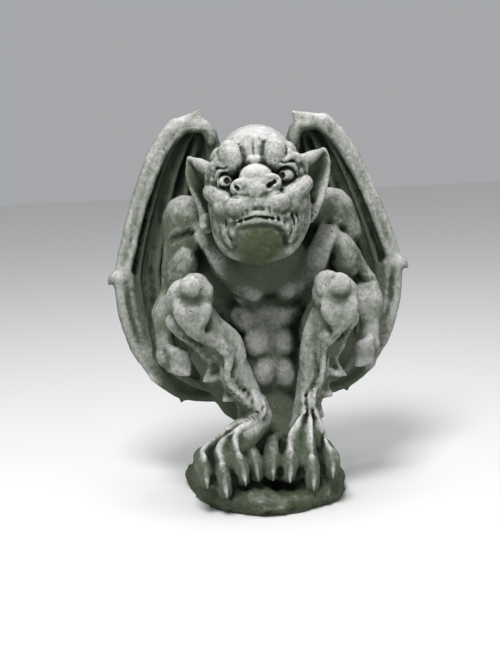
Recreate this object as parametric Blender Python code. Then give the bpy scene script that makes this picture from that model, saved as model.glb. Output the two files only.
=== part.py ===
# Stone gargoyle: a winged, bat-eared beast crouching with both feet together on a rock.
# Metres, +Z up, the face looks along -Y. The origin is the middle of the rock's flat underside.
import math

import bmesh
import bpy
import numpy as np
from mathutils import Euler, Matrix, Vector

FIGURE_HEIGHT = 0.490            # underside of the rock to the tips of the wings
UNIT = FIGURE_HEIGHT / 490.0     # the carving is given in shares of the height

ROCK_WIDTH = 0.200
ROCK_DEPTH = 0.262
ROCK_RIM = 0.027                 # height of the lip
FIGURE_SEAT = (0.012, 0.032, -0.014)  # figure's own zero, seen from the middle of the underside
WING_THICKNESS = 0.008
EAR_THICKNESS = 0.006
FIN_THICKNESS = 0.008

BLOCK_VOXEL = 0.0026
CARVE_VOXEL = 0.0019
TRIANGLES = 9200

# joints of the figure as (viewer's left, viewer's right)
POSE = {
    "hip": ((-28, 24, 122), (30, 24, 122)),
    "knee": ((-110, -106, 280), (71, -106, 274)),
    "calf": ((-67, -93, 205), (51, -93, 203)),
    "ankle": ((-28, -86, 122), (32, -86, 120)),
    "shoulder": ((-101, 4, 364), (95, 4, 365)),
    "biceps": ((-107, -18, 306), (99, -22, 314)),
    "elbow": ((-121, -6, 268), (130, -6, 273)),
    "wrist": ((-137, -42, 222), (129, -42, 220)),
    "hand": ((-134, -60, 200), (121, -62, 198)),
    "toes": ((-77, -122, 82), (22, -122, 82)),
}
HEAD_PLACE = (-19.4, -75.0, 398.7)
HEAD_TURN = (-10.0, -3.7, -9.0)  # tilted back, rolled, looking to the viewer's left
EAR_REACH = (78, 90)             # ear tips from the middle of the head

SIDES = (-1, 1)


def joint(name, side):
    """Place of a named joint on one side."""
    return Vector(POSE[name][0 if side < 0 else 1])


def mirrored(side, *point):
    """A point given for the viewer's right, on either side."""
    return Vector((point[0] * side, point[1], point[2]))


def head_frame():
    """Frame of the head, turned and tilted on the neck."""
    tilt, roll, turn = (math.radians(value) for value in HEAD_TURN)
    turned = Matrix.Rotation(turn, 4, "Z") @ Matrix.Rotation(tilt, 4, "X") @ Matrix.Rotation(roll, 4, "Y")
    return Matrix.Translation(Vector(HEAD_PLACE) * UNIT) @ turned


BODY = Matrix.Translation(FIGURE_SEAT)
HEAD = BODY @ head_frame()


def ball(clay, centre, radii, turn=(0, 0, 0), frame=BODY):
    """One rounded lump of clay."""
    if isinstance(radii, (int, float)):
        radii = (radii, radii, radii)
    angles = Euler([math.radians(value) for value in turn])
    place = Matrix.LocRotScale(Vector(centre) * UNIT, angles, Vector(radii) * UNIT)
    bmesh.ops.create_icosphere(clay, subdivisions=3, radius=1.0, matrix=frame @ place)


def smooth_path(points, radii, steps=6):
    """Points and radii along a smooth curve through the given ones."""
    points = [Vector(point) for point in points]
    ends = [points[0] * 2 - points[1]] + points + [points[-1] * 2 - points[-2]]
    path = []
    for i in range(len(points) - 1):
        a, b, c, d = ends[i:i + 4]
        for step in range(steps):
            t = step / steps
            spot = (b * 2 + (c - a) * t + (a * 2 - b * 5 + c * 4 - d) * t ** 2
                    + (b * 3 - a - c * 3 + d) * t ** 3) * 0.5
            ease = t * t * (3 - 2 * t)
            path.append((spot, radii[i] * (1 - ease) + radii[i + 1] * ease))
    path.append((points[-1], radii[-1]))
    return path


def limb(clay, points, radii, frame=BODY, flat=1.0, flat_axis=(0, 1, 0), sides=12):
    """A round, tapering limb through the points; flat thins it along one axis."""
    path = smooth_path(points, radii)
    squash = Matrix.Scale(flat, 3, Vector(flat_axis)) if flat != 1.0 else Matrix.Identity(3)
    last = len(path) - 1
    side_way = None
    rings = []
    for i, (spot, radius) in enumerate(path):
        along = (path[min(i + 1, last)][0] - path[max(i - 1, 0)][0]).normalized()
        if side_way is None:
            side_way = along.orthogonal().normalized()
        side_way = (side_way - along * side_way.dot(along)).normalized()
        up_way = along.cross(side_way)
        caps = [(0.0, 1.0)]
        if i == 0:
            caps = [(-0.95, 0.3), (-0.6, 0.8), (0.0, 1.0)]
        elif i == last:
            caps = [(0.0, 1.0), (0.6, 0.8), (0.95, 0.3)]
        for shift, share in caps:
            ring = []
            for k in range(sides):
                angle = math.tau * k / sides
                off = (side_way * math.cos(angle) + up_way * math.sin(angle)) * share + along * shift
                ring.append(clay.verts.new(frame @ ((spot + squash @ (off * radius)) * UNIT)))
            rings.append(ring)
    for near, far in zip(rings, rings[1:]):
        for k in range(sides):
            clay.faces.new((near[k], near[(k + 1) % sides], far[(k + 1) % sides], far[k]))
    clay.faces.new(reversed(rings[0]))
    clay.faces.new(rings[-1])


def ring_of(clay, centre, across, thick, turn=(0, 0, 0), frame=BODY, arc=(0, 360), steps=10):
    """A bead bent round an eye or a nostril; across is its half width and half height."""
    angles = Euler([math.radians(value) for value in turn]).to_matrix()
    points = []
    for i in range(steps + 1):
        angle = math.radians(arc[0] + (arc[1] - arc[0]) * i / steps)
        points.append(Vector(centre) + angles @ Vector((across[0] * math.cos(angle), 0,
                                                        across[1] * math.sin(angle))))
    limb(clay, points, [thick] * len(points), frame, sides=8)


def slab(clay, rows, thickness, frame=BODY, way=(0, 1, 0)):
    """A sheet through rows of points, given a thickness along one way."""
    off = Vector(way).normalized() * thickness / UNIT / 2
    layers = []
    for sign in (-1, 1):
        layers.append([[clay.verts.new(frame @ ((point + off * sign) * UNIT)) for point in row]
                       for row in rows])
    front, back = layers
    last_row, last_col = len(rows) - 1, len(rows[0]) - 1
    for i in range(last_row):
        for j in range(last_col):
            clay.faces.new((front[i][j], front[i][j + 1], front[i + 1][j + 1], front[i + 1][j]))
            clay.faces.new((back[i][j], back[i + 1][j], back[i + 1][j + 1], back[i][j + 1]))
    for i in range(last_row):
        clay.faces.new((front[i][0], front[i + 1][0], back[i + 1][0], back[i][0]))
        clay.faces.new((front[i + 1][last_col], front[i][last_col], back[i][last_col],
                        back[i + 1][last_col]))
    for j in range(last_col):
        clay.faces.new((front[0][j + 1], front[0][j], back[0][j], back[0][j + 1]))
        clay.faces.new((front[last_row][j], front[last_row][j + 1], back[last_row][j + 1],
                        back[last_row][j]))


def rock(clay):
    """The rock: a low irregular boulder with a lip in front and a mound under the seat."""
    around = 48
    levels = ((-0.5, 0.90), (0.0, 0.93), (0.4, 0.99), (0.8, 0.97), (1.08, 0.88))
    rings = []
    for height, spread in levels:
        ring = []
        for k in range(around):
            angle = math.tau * k / around
            rough = 1 + 0.03 * math.sin(3 * angle + 0.7) + 0.02 * math.sin(7 * angle + height * 2)
            x = math.copysign(abs(math.cos(angle)) ** 0.8, math.cos(angle)) * ROCK_WIDTH / 2
            y = math.copysign(abs(math.sin(angle)) ** 0.8, math.sin(angle)) * ROCK_DEPTH / 2
            lift = 1 + 0.12 * math.sin(2 * angle + 1.3) + 0.1 * math.sin(9 * angle)
            ring.append(clay.verts.new((x * spread * rough, y * spread * rough,
                                        ROCK_RIM * height * (lift if height > 0 else 1))))
        rings.append(ring)
    for near, far in zip(rings, rings[1:]):
        for k in range(around):
            clay.faces.new((near[k], near[(k + 1) % around], far[(k + 1) % around], far[k]))
    clay.faces.new(reversed(rings[0]))
    clay.faces.new(rings[-1])
    ball(clay, (0, 26, 52), (58, 58, 46))
    ball(clay, (2, -34, 58), (44, 44, 54))
    ball(clay, (3, -14, 100), (32, 32, 50))
    ball(clay, (-56, -92, 36), (46, 48, 34), (22, 0, 8))
    ball(clay, (28, -94, 34), (44, 48, 34), (22, 0, -8))
    ball(clay, (-52, 16, 30), (44, 58, 28))
    ball(clay, (44, 20, 28), (38, 56, 30))


def torso(clay):
    """Pelvis, belly, chest and back."""
    ball(clay, (0, 28, 122), (48, 44, 42))
    ball(clay, (3, 2, 176), (44, 45, 54))
    ball(clay, (3, 2, 208), (47, 45, 50))
    ball(clay, (2, 4, 240), (56, 48, 52))
    ball(clay, (-1, 10, 296), (76, 52, 58))
    ball(clay, (-2, -20, 308), (56, 42, 44))
    ball(clay, (-2, 34, 338), (72, 44, 50))
    limb(clay, [(-80, 8, 366), (-2, 20, 376), (78, 8, 368)], [28, 38, 28])
    limb(clay, [(-4, 8, 340), (-12, -26, 374), (-17, -60, 392)], [56, 54, 46])
    for side in SIDES:
        # breast drawn from the shoulder to the breastbone, flank, shoulder blade down to the loin
        limb(clay, [mirrored(side, 88, -14, 352), mirrored(side, 72, -34, 328),
                    mirrored(side, 50, -44, 298),
                    mirrored(side, 22, -36, 276)], [16, 15, 17, 18])
        limb(clay, [mirrored(side, 70, 22, 346), mirrored(side, 64, 16, 306),
                    mirrored(side, 50, 10, 258)], [30, 27, 22])
        limb(clay, [mirrored(side, 42, 58, 372), mirrored(side, 48, 62, 330), mirrored(side, 34, 54, 270),
                    mirrored(side, 24, 46, 190)], [24, 26, 24, 26])


BELLY_LOBES = (      # across, height, half width, half height, lean
    (26, 266, 20, 12, -12), (-25, 265, 18, 12, 12), (-28, 239, 19, 19, 34), (20, 241, 23, 16, -4),
    (-15, 208, 17, 21, 6), (17, 208, 16, 20, -4), (-9, 170, 13.5, 20, 3), (16, 168, 13, 21, -3))


def belly(clay):
    """Rows of belly muscles under the chest."""
    for x, height, wide, tall, lean in BELLY_LOBES:
        across = min(0.95, abs(x - 3) / 52)
        deep = 2 - 45 * math.sqrt(1 - across ** 2) + 8.5
        ball(clay, (x, deep, height), (wide, 14, tall), (0, lean, 0))


def arm(clay, side):
    """Shoulder, upper arm, forearm and a hand clasping the shin from outside."""
    shoulder, biceps, elbow = joint("shoulder", side), joint("biceps", side), joint("elbow", side)
    wrist, hand = joint("wrist", side), joint("hand", side)
    middle = elbow * 0.5 + wrist * 0.5
    drop = 3 if side < 0 else 10
    limb(clay, [shoulder + Vector((-2 * side, 0, 4)), shoulder + Vector((drop * side, -6, -24))], [29, 25])
    limb(clay, [shoulder + Vector((4 * side, 6, -20)), biceps + Vector((8 * side, 14, 0)), elbow],
                [22, 18, 16])
    ball(clay, biceps + Vector((2 * side, -4, -2)), (19, 20, 33), (12, -20 * side, 0))
    ball(clay, elbow + Vector((0, 6, 0)), (15, 14, 15))
    limb(clay, [elbow + Vector((0, -3, 2)), middle + Vector((4 * side, -4, 4)), wrist], [17, 18, 12])
    limb(clay, [elbow + Vector((-8 * side, -12, -4)), middle + Vector((-8 * side, -10, 6)),
                wrist + Vector((-3 * side, -3, 4))], [10, 13, 9])
    ball(clay, hand, (15, 20, 15), (20, 0, -30 * side))
    limb(clay, [wrist, hand], [12, 14])
    for finger in range(4):
        root = hand + Vector((0, -8, 12 - 8 * finger))
        limb(clay, [root, root + Vector((-5 * side, -18, 0)), root + Vector((-18 * side, -22, -3)),
                    root + Vector((-24 * side, -16, -7))], [6.5, 6.5, 5.5, 2.5])


def leg(clay, side):
    """Thigh, knee with its cap, heart-shaped head of the shin, and calf."""
    hip, knee, calf, ankle = (joint(name, side) for name in ("hip", "knee", "calf", "ankle"))
    limb(clay, [hip, hip * 0.5 + knee * 0.5 + Vector((9 * side, 14, 6)), knee + Vector((0, 18, -8))],
                [34, 31, 25])
    ball(clay, knee + Vector((0, 3, 0)), (29, 25, 26))
    # thigh muscle ending beside the cap, then the cap
    limb(clay, [knee + Vector((-8 * side, 10, 14)), knee + Vector((-14 * side, -12, 10))], [17, 14])
    ball(clay, knee + Vector((0, -19, 16)), (15, 12, 15))
    # heart-shaped head of the shin with its crest
    for edge in SIDES:
        limb(clay, [knee + Vector((14.5 * edge, -16, -10)), knee + Vector((9 * edge, -17, -24)),
                    knee + Vector((0, -15, -38))], [12, 11, 9])
    ball(clay, knee + Vector((0, -17, -14)), (15, 11, 14))
    limb(clay, [knee + Vector((0, -15, -34)), calf + Vector((2 * side, -12, 6)),
                calf + Vector((-1 * side, -10, -30)),
                ankle + Vector((0, -9, 6))], [11, 10, 9, 8])
    limb(clay, [knee + Vector((0, 6, -14)), calf + Vector((0, 6, 0)), ankle], [24, 21, 17])
    # inner and outer calf
    limb(clay, [knee + Vector((-22 * side, 14, -26)), calf + Vector((-9 * side, 2, 16)),
                calf + Vector((-12 * side, 0, -10)), calf + Vector((-13 * side, 2, -36)),
                ankle + Vector((-3 * side, 0, 14))], [10, 13, 14, 13, 12])
    limb(clay, [knee + Vector((18 * side, 8, -30)), calf + Vector((14 * side, 6, -2)),
                ankle + Vector((8 * side, 2, 8))], [13, 14, 10])


FIN_OUTLINE = ((0.20, 16, 0), (0.31, 24, 0), (0.42, 31, 0), (0.47, 27, 0), (0.55, 24, 0), (0.64, 40, 1),
              (0.69, 21, 0), (0.75, 20, 0), (0.81, 29, 1), (0.86, 17, 0), (0.92, 17, 0), (0.98, 24, 1),
              (1.04, 12, 0))


def fin(clay, side):
    """Scalloped web outside the calf, running out into thorns."""
    knee, ankle = joint("knee", side), joint("ankle", side)
    rows = []
    for share, reach, thorn in FIN_OUTLINE:
        root = knee.lerp(ankle, share)
        end = root + Vector((reach * side, 0, -7 * thorn))
        rows.append([root.lerp(end, k / 6) + Vector((0, 5 * math.sin(math.pi * k / 6), 0))
                     for k in range(7)])
        if thorn:
            limb(clay,
                 [root + Vector((8 * side, -6, 4)), root.lerp(end, 0.6) + Vector((0, -3, 2)), end],
                                [8, 5, 1.6])
    slab(clay, rows, FIN_THICKNESS)


TOE_FORMS = (      # knuckle, second joint and claw tip, from the foot's own joint, inner toe first
    ((-34, 14, 14), (-39, -3, 2), (-44, -24, -27)),
    ((-15, 10, 12), (-19, -8, -1), (-24, -30, -29)),
    ((8, 8, 5), (7, -10, -10), (5, -34, -43)),
    ((28, 14, 6), (32, -2, -4), (31, -24, -30)),
)


def foot(clay, side):
    """Long tendons running down to four spread toes with hooked claws."""
    ankle, toes = joint("ankle", side), joint("toes", side)
    spread = 0.84 if side < 0 else 1.0
    limb(clay, [ankle + Vector((0, 4, 16)), ankle + Vector((0, 0, -4)), ankle * 0.45 + toes * 0.55,
                toes + Vector((-2 * side, 12, -8))], [14, 18, 22, 27])
    ball(clay, toes + Vector((-5 * side, 10, -18)), (43 * spread, 28, 27), (18, 0, 0))
    # flesh on the inner side, up against the stone between the feet
    ball(clay, toes + Vector((-26 * side, 34, -4)), (18, 18, 22))
    ball(clay, toes + Vector((-30 * side, 18, -12)), (17, 17, 20))
    for toe, (knuckle, second, tip) in enumerate(TOE_FORMS):
        knuckle, second, tip = (toes + Vector((spot[0] * side * spread, spot[1], spot[2]))
                                for spot in (knuckle, second, tip))
        along = tip - second
        if toe:
            limb(clay, [ankle + Vector(((knuckle - toes).x * 0.36, -14, 8)),
                        knuckle + Vector((0, -1, 0))], [4.5, 4.5])
            ball(clay, knuckle, (7.5, 8, 6.5))
            limb(clay, [knuckle, second], [5.5, 5.5])
        limb(clay, [knuckle + Vector((0, 6, -4)), second + Vector((0, 3, 0))], [8, 8])
        ball(clay, second, (9.5, 8.5, 8))
        # thick flesh under the joint, then the claw laid down its front
        limb(clay, [knuckle + Vector((0, 8, -8)), second + Vector((0, 1, -6)),
                    second + along * 0.5 + Vector((0, 4, 2)),
                    second + along * 0.85 + Vector((0, 8, 2))], [13, 13, 12, 9.5])
        limb(clay, [second + Vector((0, -5, 2)), second + along * 0.3 + Vector((0, -7, 4)),
                    second + along * 0.65 + Vector((0, -5, 3)), tip], [4.5, 3.8, 3.4, 1.8])


def ear(clay, side):
    """A pointed ear, hollow in front, with a thick top fold and a lobe."""
    reach = EAR_REACH[0 if side < 0 else 1]
    rise = 56 if side < 0 else 50
    top, tip = face_spot(side, 52, -10, 31), mirrored(side, reach, 22, rise)
    outer, lobe = mirrored(side, reach + 1, 22, 18), mirrored(side, 66, 2, -31)
    deep = mirrored(side, 54, 40, 6)
    steps = 12
    rim_top = [spot for spot, _ in smooth_path([top, tip], [1, 1], steps)]
    rim_low = [spot for spot, _ in smooth_path([lobe, outer, tip], [1, 1, 1], steps // 2)]
    rows = []
    for i, (high, low) in enumerate(zip(rim_top, rim_low)):
        sag = (deep - high.lerp(low, 0.5)) * 0.85 * (1 - i / steps) ** 0.7
        rows.append([high.lerp(low, k / steps) + sag * math.sin(math.pi * k / steps)
                     for k in range(steps + 1)])
    slab(clay, rows, EAR_THICKNESS, HEAD)
    limb(clay, [top, top.lerp(tip, 0.5) + Vector((0, -2, -1)), tip], [10.5, 8, 3.2], HEAD)
    limb(clay, [tip, mirrored(side, reach + 4, 23, 38), outer, mirrored(side, reach - 9, 14, -8), lobe],
                [3, 3, 3.2, 4.5, 7.5], HEAD)
    ball(clay, mirrored(side, 50, 16, 6), (12, 22, 38), (0, 8 * side, 0), HEAD)
    ball(clay, lobe + Vector((-3 * side, 2, 3)), (9, 8, 13), frame=HEAD)


def face_spot(side, x, y, z):
    """A point of the face, which is a little narrower on the viewer's left."""
    if side < 0:
        x -= 6 * min(1, max(0, (x - 30) / 24))
    return mirrored(side, x, y, z)


def skull(clay):
    """Masses of the head."""
    ball(clay, (4, 12, 34), (50, 58, 54), frame=HEAD)
    ball(clay, (0, 6, -4), (54, 44, 52), frame=HEAD)
    ball(clay, (0, 22, -24), (50, 46, 46), frame=HEAD)
    ball(clay, (0, -44, -8), (26, 28, 26), frame=HEAD)
    ball(clay, (-2, -42, -50), (32, 24, 40), (27, 0, 0), HEAD)
    for side in SIDES:
        ball(clay, face_spot(side, 38, -22, 12), (19, 17, 22), frame=HEAD)
        ball(clay, face_spot(side, 38, -24, -32), (20, 24, 35), (0, 10 * side, 0), HEAD)
        ball(clay, face_spot(side, 38, -26, 42), (17, 19, 18), frame=HEAD)
        limb(clay, [face_spot(side, 54, -14, -6), face_spot(side, 53, -14, -32),
                    mirrored(side, 43, -22, -54),
                    mirrored(side, 30, -30, -68), mirrored(side, 10, -34, -75)], [12, 12, 12, 12, 12], HEAD)


def face(clay):
    """Brow, eyes, snout, mouth and jaw."""
    # one broad mass for the nose, from the bridge to the lip
    ball(clay, (1, -56, 15.5), (21, 18, 17), frame=HEAD)
    ball(clay, (0, -61, 8), (27, 15.5, 12), frame=HEAD)
    ball(clay, (0, -65.5, 0), (17, 14.5, 14), frame=HEAD)
    ball(clay, (0, -63, -13), (25, 14, 14), frame=HEAD)
    ball(clay, (0, -65, -23), (15, 9, 8), frame=HEAD)
    ball(clay, (1, -43, 50), (13, 9, 22), frame=HEAD)
    ball(clay, (1, -45, 36), (14, 8, 12), frame=HEAD)
    for side in SIDES:
        # bulging brow, temple and the ridge out over the eye
        ball(clay, mirrored(side, 26, -43, 43), (15.5, 16.5, 23), (-8, 8 * side, 0), HEAD)
        ball(clay, face_spot(side, 42, -31, 45), (12, 13, 14), frame=HEAD)
        ball(clay, face_spot(side, 38, -40, 40), (13, 11, 11), frame=HEAD)
        ball(clay, face_spot(side, 48, -39, 34), (9, 8, 7), frame=HEAD)
        ball(clay, face_spot(side, 52, -28, 22), (9, 10, 14), frame=HEAD)
        limb(clay, [face_spot(side, 32, -51, 31), face_spot(side, 38, -49, 35),
                    face_spot(side, 47, -43, 38),
                    face_spot(side, 56, -35, 35), face_spot(side, 61, -26, 25),
                    face_spot(side, 60, -22, 14)],
                    [5, 5.5, 6, 6, 5.5, 4.5], HEAD)
        # eyeball, heavy upper lid, pouches
        ball(clay, face_spot(side, 37, -42.5, 15.5), 10, frame=HEAD)
        limb(clay, [face_spot(side, 27, -49, 24.5), face_spot(side, 33, -51.5, 29),
                    face_spot(side, 42, -49, 29.5),
                    face_spot(side, 49, -42, 24), face_spot(side, 51, -37, 16)],
                   [2.4, 3.4, 3.4, 3, 2], HEAD)
        ball(clay, face_spot(side, 44, -36, 29), (12, 8, 7), frame=HEAD)
        ring_of(clay, face_spot(side, 38, -40, 12), (14, 12.5), 2.2, (0, 0, -22 * side), HEAD, (195, 345))
        ring_of(clay, face_spot(side, 39, -38, 9), (18, 15.5), 2.6, (0, 0, -24 * side), HEAD, (205, 340))
        ball(clay, face_spot(side, 42, -37, 0), (17, 11, 11), frame=HEAD)
        # cheek roll, with flesh between it and the muzzle
        limb(clay, [mirrored(side, 28, -60, -15), face_spot(side, 46, -47, -6), face_spot(side, 58, -29, 5),
                    face_spot(side, 57, -2, 9)], [11, 12.5, 12, 11], HEAD)
        ball(clay, mirrored(side, 34, -47, -14), (20, 18, 17), frame=HEAD)
        ball(clay, face_spot(side, 44, -36, -16), (17, 16, 17), frame=HEAD)
        # small hooded nostril, standing off the side of the nose
        high = 10 if side < 0 else 12.5
        limb(clay, [mirrored(side, 10, -68, high + 1), mirrored(side, 18, -69, high + 1.5),
                    mirrored(side, 25, -66, high),
                    mirrored(side, 28, -63.5, 5.5), mirrored(side, 25, -66, -1),
                    mirrored(side, 12, -72, -3)],
                    [5, 4.2, 3.4, 3, 3.2, 3.6], HEAD)
        ball(clay, mirrored(side, 18, -62.5, 5), (13, 10.5, 9.5), frame=HEAD)
        # muzzle pad and the soft corner of the mouth
        ball(clay, mirrored(side, 19, -62.5, -17), (21, 16.5, 14), frame=HEAD)
        ball(clay, mirrored(side, 31, -54, -30), (8, 9, 8), frame=HEAD)
        ball(clay, mirrored(side, 34, -50, -35), (5, 5.5, 5), frame=HEAD)
        ball(clay, mirrored(side, 31, -51, -44), (7, 8, 10), frame=HEAD)
        ball(clay, mirrored(side, 37, -41, -44), (10, 10, 22), (0, 12 * side, 0), HEAD)
    limb(clay, [(-30, -58, -31), (-16, -69, -30), (-3, -73.5, -28.5), (14, -70.5, -30.5), (31, -58, -33)],
                [4, 4.2, 4.2, 4.2, 4], HEAD)
    limb(clay, [(-33, -47, -50), (-28, -57, -41.5), (-18, -66, -37.5), (-4, -72, -36.5), (12, -69, -38.5),
                (25, -60, -43), (33, -48, -53)], [4, 4, 4, 4, 4, 4, 4], HEAD)
    for across, height in ((-25, -33.5), (-18, -33.5), (12, -34), (19, -35), (26, -37)):
        near = abs(across) * 0.3
        limb(clay, [(across, -69.5 + near, height), (across, -71.5 + near, height - 6)], [3.6, 2.2], HEAD)


def wing_edge(side):
    """Leading edge of a wing from its peak to the tip."""
    lean = -8 if side < 0 else 0
    return [mirrored(side, *spot) + Vector((lean * max(0, spot[2] - 330) / 160, 0, 0)) for spot in (
        (66, 47, 486), (92, 48, 484), (122, 46, 452), (153, 41, 389), (177, 34, 322),
        (184, 31, 290), (180, 30, 246), (168, 29, 200), (148, 26, 158))]


def wing_root(side):
    """Inner edge of a wing from its peak down the back to the hip."""
    return [mirrored(side, *spot) for spot in (
        (56, 52, 472), (51, 56, 444), (48, 66, 400), (44, 70, 360), (46, 70, 320),
        (50, 62, 280), (52, 48, 230), (54, 28, 180), (58, 12, 132))]


def wing_rows(side, steps=4, across=16):
    """Rows of points over the cupped skin of a wing."""
    outer = [spot for spot, _ in smooth_path(wing_edge(side), [1] * 9, steps)]
    inner = [spot for spot, _ in smooth_path(wing_root(side), [1] * 9, steps)]
    rows = []
    for i, (near, far) in enumerate(zip(inner, outer)):
        down = i / (len(outer) - 1)
        cup = 20 * math.sin(math.pi * min(1, down * 1.15 + 0.08)) + 4
        droop = 14 * max(0, down - 0.8) * 5
        rows.append([near.lerp(far, j / across) + Vector((0, cup, -droop)) * math.sin(math.pi * j / across)
                     for j in range(across + 1)])
    return rows


def wing(clay, side):
    """Folded bat wing: bone along the leading edge, ridges and a cupped skin."""
    rows = wing_rows(side)
    edge, root = wing_edge(side), wing_root(side)
    slab(clay, rows, WING_THICKNESS)
    # the leading bone forks into two branches that meet at the wrist knob, the lower one has three ridges
    limb(clay, [spot + Vector((2 * side, 0, 0)) for spot in edge[1:6]], [9, 7.5, 6.5, 6, 6.5])
    limb(clay, [edge[1] + Vector((-6 * side, -4, -5)), edge[2] + Vector((-9 * side, -4, -4)),
                edge[3] + Vector((-10 * side, -4, -2)), edge[4] + Vector((-11 * side, -4, 0)),
                edge[5] + Vector((-8 * side, -3, 4))], [8, 6, 4.5, 4.5, 5.5])
    limb(clay, edge[5:], [9, 9, 8, 4])
    limb(clay, [spot + Vector((-13 * side, -2, 2)) for spot in edge[5:]], [7, 6.5, 6, 3])
    limb(clay, [spot + Vector((-24 * side, 4, 0)) for spot in edge[5:8]], [4, 5, 3])
    limb(clay, root[:5], [9, 11, 13, 16, 18])
    # scalloped lower rim and the ledge inside it
    limb(clay, [rows[-1][j] + Vector((0, -3, 0)) for j in (0, 5, 10, 16)], [7, 6, 6, 5])
    limb(clay, [rows[-1][9], rows[-1][9] + Vector((4 * side, -2, -12))], [6, 1.6])
    limb(clay, [mirrored(side, 136, 16, 180), mirrored(side, 104, 0, 158), mirrored(side, 68, -8, 142)],
                [5, 7, 6])
    # ridges of the skin, drawn together under the tip
    for column, start, stop, thick in ((13, 4, 29, 3.6), (10, 3, 29, 4.5), (7, 3, 31, 4.5), (4, 6, 31, 4)):
        ridge = [rows[i][column] + Vector((0, -9 if i > 6 else -6, 0)) for i in range(start, stop, 4)]
        limb(clay, ridge, [thick * 0.7] + [thick] * (len(ridge) - 2) + [2.5])
    # pointed tip, with the corner facet folded down inside it
    tip = Vector((-71, 46, 500)) if side < 0 else Vector((53, 46, 494))
    inner = Vector((-63, 46, 480)) if side < 0 else Vector((58, 46, 476))
    crest = edge[1].lerp(edge[2], 0.1)
    for k in range(7):
        share = k / 6
        limb(clay, [crest.lerp(inner, share * 0.8), tip.lerp(inner, share * 0.5)], [9, 3.4])
    limb(clay, [inner + Vector((2 * side, 0, 4)), inner + Vector((-5 * side, -4, -12)),
                inner + Vector((-6 * side, -4, -20))],
                [7, 8, 7])
    ball(clay, edge[5], (11, 11, 14))
    limb(clay, [edge[5] + Vector((0, 0, 4)), edge[5] + Vector((9 * side, -2, 2)),
                edge[5] + Vector((14 * side, -3, -5))], [8, 6.5, 3.5])


def remould(clay, voxel, smoothing):
    """Melt the clay into one skin and smooth it."""
    lump = bpy.data.meshes.new("lump")
    clay.to_mesh(lump)
    clay.free()
    holder = bpy.data.objects.new("lump", lump)
    bpy.context.scene.collection.objects.link(holder)
    melt = holder.modifiers.new("Melt", "REMESH")
    melt.mode = "VOXEL"
    melt.voxel_size = voxel
    rub = holder.modifiers.new("Rub", "SMOOTH")
    rub.factor = 0.5
    rub.iterations = smoothing
    seen = holder.evaluated_get(bpy.context.evaluated_depsgraph_get())
    skin = bpy.data.meshes.new_from_object(seen)
    bpy.data.objects.remove(holder, do_unlink=True)
    bpy.data.meshes.remove(lump)
    return skin


def press(skin, points, width, depth, frame=BODY):
    """Push the skin along its own normals near a line: in where depth is below nought."""
    line = np.array([frame @ (spot * UNIT) for spot, _ in smooth_path(points, [1] * len(points), 8)])
    spots = np.empty(len(skin.vertices) * 3)
    normals = np.empty(len(skin.vertices) * 3)
    skin.vertices.foreach_get("co", spots)
    skin.vertex_normals.foreach_get("vector", normals)
    spots, normals = spots.reshape(-1, 3), normals.reshape(-1, 3)
    reach = width * UNIT
    near = np.flatnonzero(np.all((spots > line.min(0) - reach) & (spots < line.max(0) + reach), axis=1))
    gap = np.linalg.norm(spots[near][:, None, :] - line[None], axis=2).min(axis=1)
    weight = np.clip(1 - (gap / reach) ** 2, 0, None) ** 2
    spots[near] += normals[near] * (weight * depth * UNIT)[:, None]
    skin.vertices.foreach_set("co", spots.ravel())
    skin.update()


def press_body(skin, side):
    """Creases and hollows of the shoulder, arm, breast, belly and leg."""
    shoulder, biceps, elbow = joint("shoulder", side), joint("biceps", side), joint("elbow", side)
    knee, calf, ankle = joint("knee", side), joint("calf", side), joint("ankle", side)
    if side < 0:
        crease = ((34, -16, -34), (19, -26, -20), (7, -31, -16), (-10, -33, -10))
    else:
        crease = ((31, -10, -44), (17, -22, -30), (-5, -31, -13), (-25, -34, 0))
    press(skin, [shoulder + mirrored(side, *spot) for spot in crease], 6.5, -5)
    press(skin, [biceps + Vector((-20 * side, -16, 30)), biceps + Vector((-22 * side, -16, 0)),
                 biceps + Vector((-12 * side, -20, -26)), elbow + Vector((-10 * side, -18, 6))], 7, -4)
    press(skin, [mirrored(side, 86, -28, 338), mirrored(side, 80, -34, 320), mirrored(side, 72, -34, 300),
                 mirrored(side, 66, -34, 286)], 13, -8)
    press(skin, [elbow + Vector((-16 * side, -18, 12)), elbow + Vector((-2 * side, -20, 6)),
                 elbow + Vector((12 * side, -14, 4))], 6, -4.5)
    press(skin, [mirrored(side, 66, -50, 290), mirrored(side, 46, -62, 268), mirrored(side, 26, -62, 254),
                 mirrored(side, 6, -60, 262)], 6, -4)
    press(skin, [mirrored(side, 46, -34, 262), mirrored(side, 40, -40, 232), mirrored(side, 33, -44, 200),
                 mirrored(side, 26, -46, 162)], 6, -2.8)
    press(skin, [mirrored(side, 20, 80, 372), mirrored(side, 18, 88, 330), mirrored(side, 14, 84, 270),
                 mirrored(side, 10, 76, 200)], 8, -3.5)
    for edge in SIDES:
        press(skin, [knee + Vector((24 * edge, -20, -4)), knee + Vector((25 * edge, -14, -20)),
                     knee + Vector((15 * edge, -16, -38)), knee + Vector((9 * edge, -16, -50))], 6, -3.6)
        press(skin, [knee + Vector((10 * edge, -20, -44)), calf + Vector((9 * edge, -18, 2)),
                     calf + Vector((6 * edge, -16, -34)), ankle + Vector((7 * edge, -14, 8))], 5, -2.6)


def press_face(skin, side):
    """Drilled pupil and nostril."""
    look = 34.5 if side < 0 else 31.5
    pupil = face_spot(side, look, -53, 16.8)
    press(skin, [pupil, pupil + Vector((0, 0, -1))], 5.5, -5, HEAD)
    press(skin, [mirrored(side, 20, -72, 4), mirrored(side, 26, -68, 9)], 4.5, -5, HEAD)


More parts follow.
